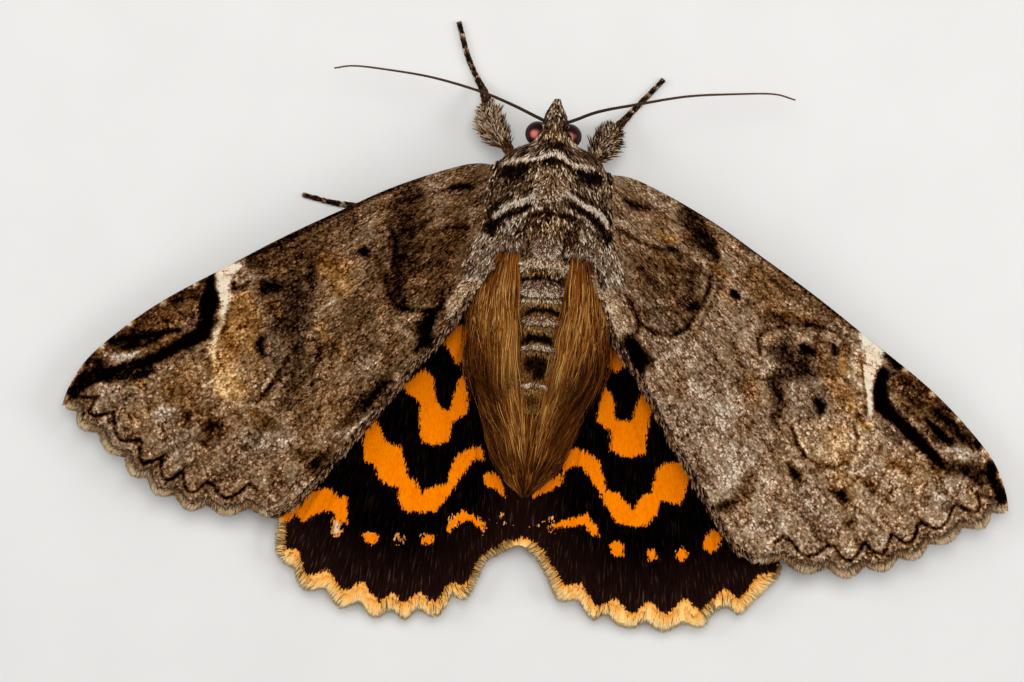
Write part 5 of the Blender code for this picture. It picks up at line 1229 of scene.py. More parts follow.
def body_point(angle, y, out, lift=0.0):
    """Points round the body: angle from the left flank over the back, out from core to hair tips.

    Each cross-section is an oval whose upper half has the back's width and whose lower half has
    the belly's. lift moves the points straight out from the oval's middle.
    """
    under, belly, back, middle, top = body_at(y)
    abdomen = np.clip((y - 4.5) / 1.0, 0, 1) * np.clip((BODY_BACK - y) / 2.0, 0, 1)
    thorax = np.clip((y + 1.6) / 0.6, 0, 1) * np.clip((4.2 - y) / 0.6, 0, 1)
    cosine, sine = np.cos(angle), np.sin(angle)
    power = 2 / BODY_ROUNDNESS
    across = np.sign(cosine) * np.abs(cosine) ** power
    rise = np.sign(sine) * np.abs(sine) ** power
    upper = np.clip((sine + 0.5) / 0.8, 0, 1)
    width = belly + upper * (0.5 + 0.5 * out) * (back - belly)
    bare_top = top - (0.40 * abdomen + 0.30 * thorax) * (1 - out)
    height = np.where(sine > 0, bare_top - middle, middle - under)
    outside = lift + flap_rise(across, y) * np.clip(sine * 2, 0, 1)
    width = np.maximum(width + outside, 0.02)
    height = np.maximum(height + outside, 0.02)
    return np.stack((across * width, y + 0 * across, middle + rise * height), -1)


def body_outward(angle, y):
    """Direction straight out from the oval's middle."""
    return unit(body_point(angle, y, 0.0, 0.3) - body_point(angle, y, 0.0, -0.1), 1e-9)


def closed_tube(rings):
    """Vertices, quads and triangles of a skin over rings of points, with a fan at each end."""
    rows, sides = rings.shape[:2]
    quads = grid_quads(rows, sides + 1)
    quads = quads // (sides + 1) * sides + quads % (sides + 1) % sides
    number = np.arange(sides)
    following = (number + 1) % sides
    first, last, offset = rows * sides, rows * sides + 1, (rows - 1) * sides
    caps = np.vstack((np.column_stack((np.full(sides, first), following, number)),
                      np.column_stack((np.full(sides, last), offset + number, offset + following))))
    verts = np.vstack((rings.reshape(-1, 3), rings[0].mean(0), rings[-1].mean(0)))
    a, b, c = (verts[caps[:, i]] for i in range(3))
    d, e, f = (verts[quads[:, i]] for i in range(3))
    g = verts[quads[:, 3]]
    volume = (a * np.cross(b, c)).sum() + (d * np.cross(e, f)).sum() + (d * np.cross(f, g)).sum()
    if volume < 0:
        return verts, quads[:, ::-1], caps[:, ::-1]
    return verts, quads, caps


GOLD_STOPS = ((0.0, (0.0040, 0.0010, 0.0003)), (0.25, (0.045, 0.0125, 0.0035)),
              (0.5, (0.180, 0.044, 0.0040)), (0.75, (0.43, 0.152, 0.025)), (1.0, (0.80, 0.44, 0.12)))


def silky_hair(name):
    """Material of the abdomen's hair: dark brown over ochre to gold, lighter from root to tip."""
    surface, tree, shader = new_material(name, 0.42, 0.03)
    light, along = attribute(tree, "tone")[::2]
    value = sums(tree, "ADD", light, linear(tree, along, 0.24, -0.12), clamp=True)
    coloured(tree, shader, ramp(tree, value, GOLD_STOPS))
    return surface


golden_hair = silky_hair("golden_hair")
SKIN_ROWS = 220
SKIN_SIDES = 96
station = np.linspace(BODY_FRONT + 0.03, BODY_BACK - 0.03, SKIN_ROWS)[:, None]
turn = np.linspace(0, 2 * math.pi, SKIN_SIDES, endpoint=False)[None, :]
rings = body_point(turn + 0 * station, station + 0 * turn, 0.0, -SKIN_INSET)
verts, quads, caps = closed_tube(rings)
skin = new_piece("body_skin", verts, quads, caps, coat_scales,
                 ("head", "collar", "thorax", "abdomen"))


def bake_place(angle, y):
    """Where a place on the body lies on the skin's unwrap: round it across, along it upwards."""
    return np.column_stack((angle % (2 * math.pi) / (2 * math.pi), (y + 6.5) / 25.0))


def body_tone(points):
    """Lightness and warmth of head and thorax scales at each point, from above."""
    tone = np.tile(BODY_GROUND, (points.size // 3, 1))
    tone = paint(tone, points.reshape(-1, 3)[:, :2], BODY_MARKS)
    tone[:, 0] = 0.43 + (tone[:, 0] - 0.40) * 1.4
    return tone.reshape(*points.shape[:-1], 2)


def varied_tone(centres):
    """Body tone of whole scales with chance added, least where the pattern is black or white."""
    count = len(centres)
    tone = body_tone(centres + draws.normal(0, 0.055, (count, 1, 3)))
    room = np.clip(1.25 - 1.4 * np.abs(tone[..., :1] - 0.45), 0.3, 1)
    return tone + draws.normal(0, 1, (count, 1, 1)) * (0.32, 0.05) * room


skin_tone = body_tone(verts)
on_abdomen = np.clip((verts[:, 1] - 4.4) / 0.3, 0, 1)[:, None]
skin_tone = skin_tone * (1 - on_abdomen) + np.array((0.27, 0.95)) * on_abdomen
keep_values(skin, "tone", np.column_stack((skin_tone, np.full(len(verts), 0.3))))
unwrapped = bake_place(*(spread.ravel() for spread in np.broadcast_arrays(turn, station)))
keep_map(skin, "OFBake", np.vstack((unwrapped, (0.5, 0.0), (0.5, 1.0))))


# Scales of head, collar and thorax: short spoon-shaped scales in many layers, combed backwards
# behind the eyes and forwards on the brow. They keep off the eyes' domes.
SPOON = np.array((0.55, 1.0, 0.9, 0.0))
HEAD_COUNT = 4600
RIGHT_EYE = (-0.90, -4.40, 3.50)
EYE_CLEARANCE = 0.86
THORAX_COUNT = 10500
BREAST_COUNT = 2400
CLUMPS = draws.normal(0, 1, (64, 64))


def scattered(count, front, back, low, high):
    """Random angles and lengthwise places on the body, evenly over its surface."""
    y = draws.uniform(front, back, count * 3)
    wide, middle, top = body_at(y)[2:]
    size = (wide + top - middle) / 8.0
    kept = draws.uniform(0, 1, count * 3) < size / size.max()
    return draws.uniform(low, high, kept.sum())[:count], y[kept][:count]


def laid(angle, y, length, drift, rise, direction=1.0):
    """Stations of locks that follow the body: along it by length, round it by drift, up by rise."""
    t = np.linspace(0, 1, len(SPOON))[None, :]
    along = y[:, None] + direction * length[:, None] * t
    along = np.clip(along, BODY_FRONT - 0.15, BODY_BACK)
    round_it = angle[:, None] + drift[:, None] * t
    lift = -0.05 + rise[:, None] * np.sin(0.62 * math.pi * t)
    centres = body_point(round_it, along, 0.0, lift - SKIN_INSET * 0.7)
    return centres, body_outward(round_it, along)


def clumped(points, size, strength):
    """Chance shift of lightness that neighbouring locks share, one value a patch of the size."""
    cell = np.floor(points[:, :2] / size + draws.normal(0, 0.12, (len(points), 2))).astype(int)
    cell %= len(CLUMPS)
    return strength * CLUMPS[cell[:, 0], cell[:, 1]]


def clear_of_eyes(centres):
    """Which locks keep out of the eyes' visible fronts."""
    away = [np.linalg.norm(centres - np.array(eye), axis=2).min(1) for eye in (LEFT_EYE, RIGHT_EYE)]
    return np.minimum(*away) > EYE_CLEARANCE


angle, y = scattered(HEAD_COUNT, -6.2, -3.55, 0, 2 * math.pi)
forward = np.where(y < -4.5, -1.0, 1.0)[:, None]
length = draws.uniform(0.35, 0.6, len(y))
sideways = draws.normal(0, 0.1, len(y))
centres, outward = laid(angle, y, length, sideways, draws.uniform(0.10, 0.24, len(y)), forward)
kept = clear_of_eyes(centres)
tone = varied_tone(centres)
new_coat("head_scales", centres[kept], outward[kept], 0.048, 0.016, SPOON, tone[kept],
         bake_place(angle, y)[kept], coat_scales)

for name, count, low, high in (
        ("thorax_scales_left", THORAX_COUNT // 2, -0.35, 0.5 * math.pi),
        ("thorax_scales_right", THORAX_COUNT // 2, 0.5 * math.pi, math.pi + 0.35),
        ("breast_scales", BREAST_COUNT, math.pi + 0.3, 2 * math.pi - 0.3)):
    angle, y = scattered(count, -3.55, 4.3, low, high)
    length = draws.uniform(0.36, 0.66, len(y))
    sideways = -np.cos(angle) * 0.08 + draws.normal(0, 0.05, len(y))
    centres, outward = laid(angle, y, length, sideways, draws.uniform(0.10, 0.30, len(y)))
    tone = varied_tone(centres)
    tone[..., 0] += clumped(centres[:, 1], 0.26, 0.09)[:, None]
    if name == "breast_scales":
        tone = np.array((0.50, 0.35)) + draws.normal(0, 1, (len(y), 1)) * (0.12, 0.06)
    kept = (y < 2.7) | (np.abs(centres[:, 0, 0]) < 1.5) | (np.sin(angle) < 0.2)
    new_coat(name, centres[kept], outward[kept], 0.045, 0.016, SPOON, tone[kept],
             bake_place(angle, y)[kept], coat_scales)


# Hair of the abdomen: long silky golden-brown strands in three layers, rooted all over its back
# and flanks, which lie backwards and draw together at the tip. Short tan scales clothe its belly.
STRAND = np.array((0.7, 1.0, 0.9, 0.65, 0.35, 0.0))
STRAND_COUNT = 3950
BELLY_COUNT = 2400
# Dark and bright places of the hair seen from above, as path, softness, lightness, warmth, cover.
HAIR_MARKS = (
    (((2.2, 3.6, 0.7), (2.6, 5, 0.8), (3, 7, 0.9)), 0.8, 0.62, 1, 0.9),
    (((-2.2, 3.6, 0.7), (-2.5, 5, 0.8), (-2.9, 7, 0.9)), 0.8, 0.6, 1, 0.9),
    (((2.9, 8, 0.2), (2.5, 10.5, 0.25), (1.9, 13.5, 0.25)), 0.4, 0.36, 1, 0.7),
    (((-2.9, 8, 0.2), (-2.4, 10.5, 0.25), (-1.8, 13.5, 0.25)), 0.4, 0.34, 1, 0.7),
    (((1.9, 7, 0.2), (1.6, 10.5, 0.3), (1.2, 13.5, 0.3), (0.9, 15.5, 0.2)), 0.3, 0.64, 1, 0.8),
    (((-1.9, 7, 0.2), (-1.5, 10.5, 0.3), (-0.9, 13.5, 0.3), (-0.6, 15.5, 0.2)), 0.3, 0.6, 1, 0.8),
    (((4.4, 8.2, 0.2), (4, 10, 0.6), (3.1, 12, 0.9), (2.6, 14, 1), (1.9, 16.5, 1)), 0.6, 0.16, 1, 0.9),
    (((-4.5, 8.2, 0.2), (-4.1, 10, 0.6), (-3.1, 12, 0.9), (-2.5, 14, 1), (-1.8, 16.5, 1)), 0.6, 0.16, 1,
     0.9),
    (((0, 12.6, 0.35), (0.1, 14.8, 0.35)), 0.4, 0.36, 1, 0.8),
    (((0, 16.2, 0.6), (0, 18, 0.6)), 0.6, 0.16, 1, 0.9),
)


def hair_tone(centres, light):
    """Lightness and warmth of hair at each station, where light is that of each unmarked lock."""
    tone = np.stack(np.broadcast_arrays(light[:, None], np.ones(centres.shape[:2])), -1).reshape(-1, 2)
    return paint(tone, centres.reshape(-1, 3)[:, :2], HAIR_MARKS).reshape(*centres.shape[:2], 2)


def beside_back(centres):
    """Which locks keep clear of the strip of short scales and crests down the middle of the back."""
    strip = 1.40 - 0.13 * np.clip(centres[..., 1] - 5.0, 0, 7) + draws.normal(0, 0.12, (len(centres), 1))
    return ((np.abs(centres[..., 0]) > strip) | (centres[..., 1] > 12.0)).all(1)


for layer, (low_out, high_out, half_width, shade, spread) in enumerate((
        (0.00, 0.45, 0.065, -0.12, 0.08), (0.30, 0.80, 0.038, 0.00, 0.12), (0.50, 1.00, 0.026, 0.08, 0.19))):
    angle, y = scattered(STRAND_COUNT, 4.3, 16.8, -0.15, math.pi + 0.15)
    length = draws.uniform(2.6, 5.6, len(y)) * np.clip((19.5 - y) / 9.0, 0.35, 1)
    t = np.linspace(0, 1, len(STRAND))[None, :]
    along = np.minimum(y[:, None] + length[:, None] * t, BODY_BACK + 0.25 * t)
    towards = (math.pi / 2 - angle) * draws.uniform(0.30, 0.80, len(y)) * np.clip((20.0 - y) / 10.0, 0.3, 1)
    round_it = angle[:, None] + towards[:, None] * t + draws.normal(0, 0.05, len(y))[:, None] * t ** 2
    out = draws.uniform(low_out, high_out, len(y))[:, None] * np.sin(0.70 * math.pi * t)
    centres = body_point(round_it, along, out, -0.06)
    kept = beside_back(centres)
    angle, y, centres = angle[kept], y[kept], centres[kept]
    outward = body_outward(round_it, along)[kept]
    tone = hair_tone(centres, np.full(len(y), 0.50))
    own = draws.normal(0, spread, len(y)) + shade
    own += clumped(np.column_stack((angle * 3.0, y * 0.25)), 0.30, 0.12)
    own += clumped(np.column_stack((angle * 3.0 - y * 0.4, y * 0.2)), 0.75, 0.07)
    tone[..., 0] += own[:, None]
    new_coat(f"abdomen_hair_{layer + 1}", centres, outward, half_width * draws.uniform(0.7, 1.2, len(y)),
             half_width * 0.45, STRAND, tone, bake_place(angle, y), golden_hair)

angle, y = scattered(BELLY_COUNT, 4.3, 17.9, math.pi - 0.1, 2 * math.pi + 0.1)
length = draws.uniform(0.5, 0.9, len(y))
sideways = draws.normal(0, 0.05, len(y))
centres, outward = laid(angle, y, length, sideways, draws.uniform(0.08, 0.2, len(y)))
tone = np.array((0.52, 0.6)) + draws.normal(0, 1, (len(y), 1)) * (0.10, 0.06)
new_coat("belly_scales", centres, outward, 0.065, 0.016, SPOON, tone, bake_place(angle, y), coat_scales)


# Shoulder scales: long loose scales that hide the joint between thorax and forewings, and the pale
# lobe of long scales along the first third of each forewing's inner edge.
# Patch: name, corner, two sides of its parallelogram, way that the scales point, their length and
# rise, lightness, warmth and count.
SHOULDERS = (
    ("shoulder_left", (2.5, -2.7), (1.2, 0.4), (0.3, 5.4), (0.25, 0.9), 0.65, 0.18, 0.38, 0.30, 1500),
    ("shoulder_right", (-2.5, -2.6), (-1.1, 0.4), (-0.4, 5.2), (-0.25, 0.9), 0.65, 0.18, 0.40, 0.30, 1500),
    ("armpit_left", (2.5, 2.2), (1.5, -0.3), (0.9, 2.2), (0.35, 0.9), 0.80, 0.34, 0.62, 0.10, 800),
    ("armpit_right", (-2.5, 2.2), (-1.5, -0.3), (-0.9, 2.2), (-0.35, 0.9), 0.80, 0.34, 0.66, 0.10, 800),
    ("lobe_left", (3.5, 4.8), (0.9, 0.3), (1.5, 2.5), (0.45, 0.85), 0.42, 0.10, 0.66, 0.35, 1500),
    ("lobe_right", (-3.3, 4.8), (-0.9, 0.3), (-1.6, 2.4), (-0.5, 0.85), 0.42, 0.10, 0.66, 0.35, 1500),
)


def cover_level(x, y, wing_level):
    """Height of whichever is higher at a place, the thorax or a wing, with a soft blend between."""
    body = back_level(x, y, body_at(y)[1] + 0.1)
    wing = wing_level(np.abs(x), y)
    return np.log(np.exp(4 * body) + np.exp(4 * wing)) / 4 - 0.10


def shoulder_unwrap(place):
    """Where a lock's colours are kept on a flat map of the shoulders."""
    return np.column_stack((0.5 + place[:, 0] / 12.0, (place[:, 1] + 3.0) / 12.0))


for name, corner, wide, deep, way, length, rise, light, warm, count in SHOULDERS:
    spot = draws.uniform(0, 1, (count, 2))
    start = np.array(corner) + spot[:, :1] * wide + spot[:, 1:] * deep
    aim = np.array(way) + draws.normal(0, 0.16, (count, 2))
    reach = length * draws.uniform(0.6, 1.1, count)
    t = np.linspace(0, 1, len(SPOON))[None, :]
    flat = start[:, None] + (reach[:, None] * t)[..., None] * aim[:, None]
    lift = rise * draws.uniform(0.3, 1.0, count)[:, None] * np.sin(0.62 * math.pi * t) - 0.04
    level = cover_level(flat[..., 0], flat[..., 1], forewing_level) + lift
    centres = np.concatenate((flat, level[..., None]), 2)
    tone = np.tile((light, warm), (count, len(SPOON), 1))
    tone = tone + draws.normal(0, 1, (count, 1, 1)) * (0.26, 0.05)
    if name.startswith("shoulder"):
        tone = varied_tone(centres)
    tone[..., 0] += clumped(start, 0.28, 0.08)[:, None]
    new_coat(name + "_scales", centres, UP, 0.052, 0.016, SPOON, tone, shoulder_unwrap(start),
             coat_scales)


# Flank hair: silky locks that spring from under the rear of the thorax, fan out over the bases of
# the hindwings and run back along the abdomen's sides.
FLANK_COUNT = 2600
for side, side_name in SIDE_NAMES.items():
    share = draws.uniform(0, 1, FLANK_COUNT)
    start = np.column_stack((1.6 + 1.6 * share, 2.4 + 0.9 * share + draws.uniform(0, 3.6, FLANK_COUNT)))
    reach = draws.uniform(2.8, 6.8, FLANK_COUNT)
    t = np.linspace(0, 1, len(STRAND))[None, :]
    turn = (-0.03 + 0.74 * share + draws.normal(0, 0.06, FLANK_COUNT))[:, None]
    y = start[:, 1:] + reach[:, None] * t
    x = start[:, :1] + reach[:, None] * (turn * t - (0.02 + 0.11 * reach[:, None] * share[:, None]) * t ** 2)
    x = x + 0.09 * t * np.sin(2.1 * y + 6.0 * share[:, None])
    lift = draws.uniform(0.15, 0.55, FLANK_COUNT)[:, None] * np.sin(0.7 * math.pi * t) - 0.3 * (1 - t) ** 4
    body = back_level(x, y, body_at(y)[2] + 0.4)
    level = np.maximum(body, hindwing_level(x, y) + 0.15) + lift - 0.10
    centres = np.stack((x * side, y, level), -1)
    bright = 0.55 + 0.14 * np.clip((4.2 - start[:, 1]) / 1.0, 0, 1)
    tone = hair_tone(centres, bright)
    own = draws.normal(0, 0.18, FLANK_COUNT)
    own += clumped(np.column_stack((share * 1.6, start[:, 1] * 0.3)), 0.20, 0.13)
    tone[..., 0] += own[:, None]
    kept = beside_back(centres)
    half_width = 0.030 * draws.uniform(0.7, 1.2, kept.sum())
    new_coat(f"flank_{side_name}_hair", centres[kept], UP, half_width, 0.014, STRAND, tone[kept],
             shoulder_unwrap(start * (side, 1))[kept], golden_hair)


# Back scales: short smooth scales down the middle of the abdomen's back, golden between the crests
# and near black in a crescent before each of them.
BACK_COUNT = 3600
BACK_MARKS = (
    (((1, 4.45, 0.15), (0, 4.35, 0.18), (-0.9, 4.35, 0.15)), 0.12, 0.56, 1.1, 1),
    (((1.3, 4.95, 0.1), (0.6, 4.66, 0.14), (-0.7, 4.66, 0.14), (-1.2, 4.9, 0.1)), 0.1, -0.1, 0.3, 1),
    (((1.5, 6.15, 0.1), (0, 6.12, 0.12), (-1.2, 6.05, 0.1)), 0.08, 1, 0.25, 1),
    (((1.5, 6.45, 0.16), (0.4, 6.36, 0.12), (-1.2, 6.3, 0.14)), 0.1, 0.66, 0.95, 1),
    (((0.9, 6.95, 0.1), (0.4, 6.66, 0.14), (-0.6, 6.62, 0.14), (-1.3, 6.9, 0.12)), 0.1, -0.1, 0.4, 1),
    (((1, 7.9, 0.25), (0, 7.9, 0.28), (-1.1, 7.9, 0.25)), 0.2, 0.66, 1, 1),
    (((1, 8.75, 0.16), (0.4, 8.4, 0.22), (-0.5, 8.4, 0.22), (-1.1, 8.75, 0.16)), 0.12, -0.1, 0.5, 1),
    (((0.9, 9.3, 0.25), (-0.9, 9.3, 0.25)), 0.25, 0.6, 0.8, 1),
    (((0.3, 10, 0.42), (-0.3, 10, 0.42), (-0.2, 10.5, 0.4)), 0.2, 0, 0.6, 1),
    (((0.7, 11.7, 0.25), (-0.7, 11.7, 0.25)), 0.25, 0.62, 1, 1),
    (((0.4, 12.4, 0.3), (-0.4, 12.4, 0.3)), 0.3, 0.24, 1, 0.8),
)
y = draws.uniform(4.1, 12.8, BACK_COUNT)
x = draws.uniform(-1.5, 1.5, BACK_COUNT) * np.clip((15.5 - y) / 7.0, 0.3, 1)
angle = np.arccos(np.clip(x / body_at(y)[2], -1, 1))
t = np.linspace(0, 1, len(SPOON))[None, :]
along = y[:, None] + draws.uniform(0.30, 0.50, BACK_COUNT)[:, None] * t
round_it = angle[:, None] + 0 * t
out = draws.uniform(0.35, 0.75, BACK_COUNT)[:, None] * np.sin(0.60 * math.pi * t)
centres = body_point(round_it, along, out, -0.04)
tone = paint(np.tile((0.50, 1.0), (BACK_COUNT, 1)), centres[:, 2, :2], BACK_MARKS)
tone += draws.normal(0, 1, (BACK_COUNT, 1)) * (0.09, 0.05)
new_coat("back_scales", centres, body_outward(round_it, along), 0.045, 0.012, SPOON, tone,
         bake_place(angle, y), coat_scales)


# Crests: four tufts of black and pale upright scales in a row down the abdomen's back, and tufts
# and fans of longer scales on the middle and rear of the thorax. Each is paler at its rear.
# Crest: middle x, front y, half width, length, rise, lightness at front and rear, warmth, count.
CRESTS = (
    ("thorax_crest", 0.00, -1.70, 0.60, 1.60, 0.32, 0.50, 0.66, 0.25, 700),
    ("rear_skirt_left", 2.20, 2.15, 0.95, 0.55, 0.40, 0.40, 0.66, -0.10, 600),
    ("rear_skirt_right", -2.15, 2.25, 0.95, 0.65, 0.40, 0.40, 0.66, 0.20, 600),
    ("rear_tuft", 0.00, 2.10, 0.60, 1.20, 0.24, 0.52, 0.70, 0.00, 800),
    ("rear_arc", 0.00, 3.35, 1.25, 0.45, 0.18, 0.62, 0.84, 0.30, 700),
    ("crest_1", 0.05, 4.74, 1.25, 0.85, 0.34, 0.42, 0.84, -0.05, 1500),
    ("crest_2", -0.15, 6.76, 0.95, 0.52, 0.34, 0.50, 0.66, 0.30, 1000),
    ("crest_3", -0.10, 8.52, 0.80, 0.26, 0.32, 0.60, 0.74, 0.25, 600),
    ("crest_4", -0.02, 10.85, 0.50, 0.28, 0.28, 0.56, 0.74, 0.30, 350),
)
for name, middle_x, front, half, length, rise, dark, light, warm, count in CRESTS:
    share = draws.uniform(-1, 1, count)
    place = draws.uniform(0, 1, count)
    y = front + place * length * np.sqrt(np.clip(1 - share ** 2, 0.05, 1)) + 0.25 * share ** 2
    angle = np.arccos(np.clip((middle_x + half * share) / body_at(y)[2], -1, 1))
    reach = draws.uniform(0.25, 0.8 if rise > 0.35 else 0.45, count)
    t = np.linspace(0, 1, len(SPOON))[None, :]
    along = y[:, None] + reach[:, None] * t
    round_it = angle[:, None] - share[:, None] * 0.10 * t
    lift = rise * (0.15 + 0.85 * place)[:, None] * np.sin(0.55 * math.pi * t) + 0.02
    centres = body_point(round_it, along, 0.15, lift)
    shade = dark + (light - dark) * place ** 2 + draws.normal(0, 0.25, count)
    new_coat(name + "_scales", centres, body_outward(round_it, along), 0.034, 0.012, SPOON,
             np.column_stack((shade, np.full(count, warm))), bake_place(angle, y), coat_scales)


# Eyes: large smooth domes at the sides of the head, black, turning wine-red towards a painted
# reflection near the top, where the light comes back as a soft salmon spot.
EYE_RADIUS = 0.78
EYE_PLACES = {LEFT: (1.08, -4.30, 3.52), RIGHT: (-0.88, -4.30, 3.52)}
EYE_RINGS = 60
EYE_SEGMENTS = 72
# Way from each eye's middle to its painted reflection.
EYE_REFLECTION_AIM = {LEFT: (0.24, 0.10, 0.80), RIGHT: (-0.04, 0.10, 0.82)}
eye_surface, tree, shader = new_material("eye_surface", 0.16, 0.12)
# The painted reflection: a salmon spot where the light comes back, over black that turns wine-red towards
# it.
spot, depth = attribute(tree, "tone")[:2]
where = add_node(tree, "ShaderNodeTexCoord").outputs["Object"]
facets = add_node(tree, "ShaderNodeTexVoronoi", {"Vector": where, "Scale": 24000.0})
dark = blended(tree, depth, (0.003, 0.0015, 0.0015, 1), (0.05, 0.008, 0.008, 1))
coloured(tree, shader, blended(tree, spot, dark, (0.74, 0.20, 0.15, 1)))
roughened(tree, shader, facets.outputs["Distance"], 0.12, 0.00001)
for side, side_name in SIDE_NAMES.items():
    polar = np.linspace(0.02, math.pi - 0.02, EYE_RINGS)[:, None]
    round_it = np.linspace(0, 2 * math.pi, EYE_SEGMENTS, endpoint=False)[None, :]
    ball = np.stack((np.cos(polar) + 0 * round_it, np.sin(polar) * np.cos(round_it),
                     np.sin(polar) * np.sin(round_it)), -1)
    verts, quads, caps = closed_tube(ball * EYE_RADIUS + EYE_PLACES[side])
    eye = new_piece(f"eye_{side_name}_dome", verts, quads, caps, eye_surface, (f"eye_{side_name}",))
    facing = (verts - EYE_PLACES[side]) / EYE_RADIUS
    aim = np.array(EYE_REFLECTION_AIM[side]) / np.linalg.norm(EYE_REFLECTION_AIM[side])
    # Painted reflection: the salmon spot and the wine-red both grow with closeness to the given aim.
    near = np.linalg.norm(facing - aim, axis=1)
    glow = np.clip((0.46 - near) / 0.28, 0, 1) ** 1.5
    keep_values(eye, "tone", np.column_stack((glow, np.clip(1.2 - near, 0, 1))))


# Feelers: long fine threads of about eighty short rings, black-brown at the head and browner
# outwards. Each is rooted by a fat first joint at the top of the head.
ANTENNA_ROUTES = {LEFT: (
    (0.55, -4.95, 5), (1.2, -5.2, 5.05), (2.9, -5.9, 4.7), (5, -6.6, 4.2), (8, -7.25, 3.5), (11, -7.55, 2.9),
    (12.9, -7.62, 2.6), (14.1, -7.4, 2.4),
), RIGHT: (
    (-0.45, -4.95, 5), (-1.1, -5.2, 5.05), (-2.6, -5.9, 4.7), (-5, -6.6, 4.2), (-8, -7.4, 3.5),
    (-11, -7.85, 2.9), (-13.4, -8.08, 2.6), (-14.8, -7.85, 2.4),
)}
ANTENNA_HALF = (0.105, 0.050)
ANTENNA_STATIONS = 480
ANTENNA_JOINTS = 84
ANTENNA_SIDES = 12


def square_to(line):
    """Unit vectors across a line and up from it, square to the way ahead at each point."""
    ahead = unit(np.gradient(line, axis=0))
    across = unit(np.cross(ahead, (0, 0, 1)))
    return across, np.cross(across, ahead)


def along_route(line, half, sides):
    """Rings of a tube round the line, each half thick and square to the way ahead."""
    across, upward = square_to(line)
    round_it = np.linspace(0, 2 * math.pi, sides, endpoint=False)[None, :, None]
    return line[:, None] + half[:, None, None] * (np.cos(round_it) * across[:, None]
                                                  + np.sin(round_it) * upward[:, None])


antenna_rings, tree, shader = new_material("antenna_rings", 0.5, 0.05)
outwards, joint = attribute(tree, "tone")[:2]
base = blended(tree, outwards, (0.006, 0.004, 0.003, 1), (0.11, 0.048, 0.022, 1))
coloured(tree, shader, blended(tree, sums(tree, "MULTIPLY", joint, 0.3), base, (0.16, 0.09, 0.05, 1)))
for side, side_name in SIDE_NAMES.items():
    line = smooth_line(ANTENNA_ROUTES[side], ANTENNA_STATIONS)
    share = np.linspace(0, 1, ANTENNA_STATIONS)
    wave = np.abs(np.sin(math.pi * ANTENNA_JOINTS * share))
    half = np.interp(share, (0, 1), ANTENNA_HALF) * (0.90 + 0.14 * wave ** 0.5)
    half *= 1 + 0.9 * np.exp(-(share / 0.012) ** 2)
    verts, quads, caps = closed_tube(along_route(line, half, ANTENNA_SIDES))
    feeler = new_piece(f"antenna_{side_name}_thread", verts, quads, caps, antenna_rings,
                       (f"antenna_{side_name}",))
    values = np.column_stack((share, 1 - wave))
    keep_values(feeler, "tone", np.vstack((np.repeat(values, ANTENNA_SIDES, axis=0), values[[0, -1]])))


# Palps: a pair of short feelers beside the mouth, rooted under the head. They curve up into the
# pointed snout under a close coat of short grey-brown scales.
PALP_ROUTE = ((0.42, -4.75, 1.78), (0.42, -5.45, 2.15), (0.26, -6.02, 2.75), (0.12, -6.50, 3.25))
PALP_HALF = (0.28, 0.30, 0.18, 0.05)
PALP_MIDDLE = 0.10


def scaled_limb(name, line, half, sides, tone_of, count, scale_length, scale_width, rise, replaced):
    """A limb: a tube along the line under a coat of scales that point to its far end."""
    verts, quads, caps = closed_tube(along_route(line, half, sides))
    share = np.linspace(0, 1, len(line))
    limb = new_piece(name, verts, quads, caps, coat_scales, replaced)
    tone = tone_of(share)
    rows = np.vstack((np.repeat(tone, sides, axis=0), tone[[0, -1]]))
    keep_values(limb, "tone", np.column_stack((rows, np.full(len(rows), 0.5))))
    at = draws.uniform(0, 0.985, count)
    angle = draws.uniform(0, 2 * math.pi, count)
    t = np.linspace(0, 1, len(SPOON))[None, :]
    length = np.linalg.norm(np.diff(line, axis=0), axis=1).sum()
    forward = np.minimum(at[:, None] + scale_length * t / length, 1.0)
    place = forward * (len(line) - 1)
    across, upward = square_to(line)
    near = place[:, 0].astype(int)
    out = np.cos(angle)[:, None] * across[near] + np.sin(angle)[:, None] * upward[near]
    thick = np.interp(place, np.arange(len(line)), half)
    lift = thick * 0.92 + rise * draws.uniform(0.4, 1.0, count)[:, None] * np.sin(0.6 * math.pi * t)
    centres = read_at(line, place) + lift[..., None] * out[:, None]
    centres[..., 2] = np.maximum(centres[..., 2], 0.015)
    tone = tone_of(at) + draws.normal(0, 1, (count, 1)) * (0.16, 0.05)
    bake = np.column_stack((angle / (2 * math.pi), at))
    outward = np.repeat(out[:, None], len(SPOON), 1)
    new_coat(name + "_scales", centres, outward, scale_width, 0.012, SPOON, tone, bake, coat_scales)


for side, side_name in SIDE_NAMES.items():
    route = np.column_stack((PALP_ROUTE, PALP_HALF))
    route[:, 0] = (route[:, 0] - PALP_MIDDLE) * side + PALP_MIDDLE
    line = smooth_line(route, 40)
    scaled_limb(f"palp_{side_name}_core", line[:, :3], line[:, 3], 20,
                lambda share: np.column_stack((0.46 + 0.16 * np.sin(share * 9), 0.22 + 0 * share)), 1500,
                0.34, 0.034, 0.07, (f"palp_{side_name}",))


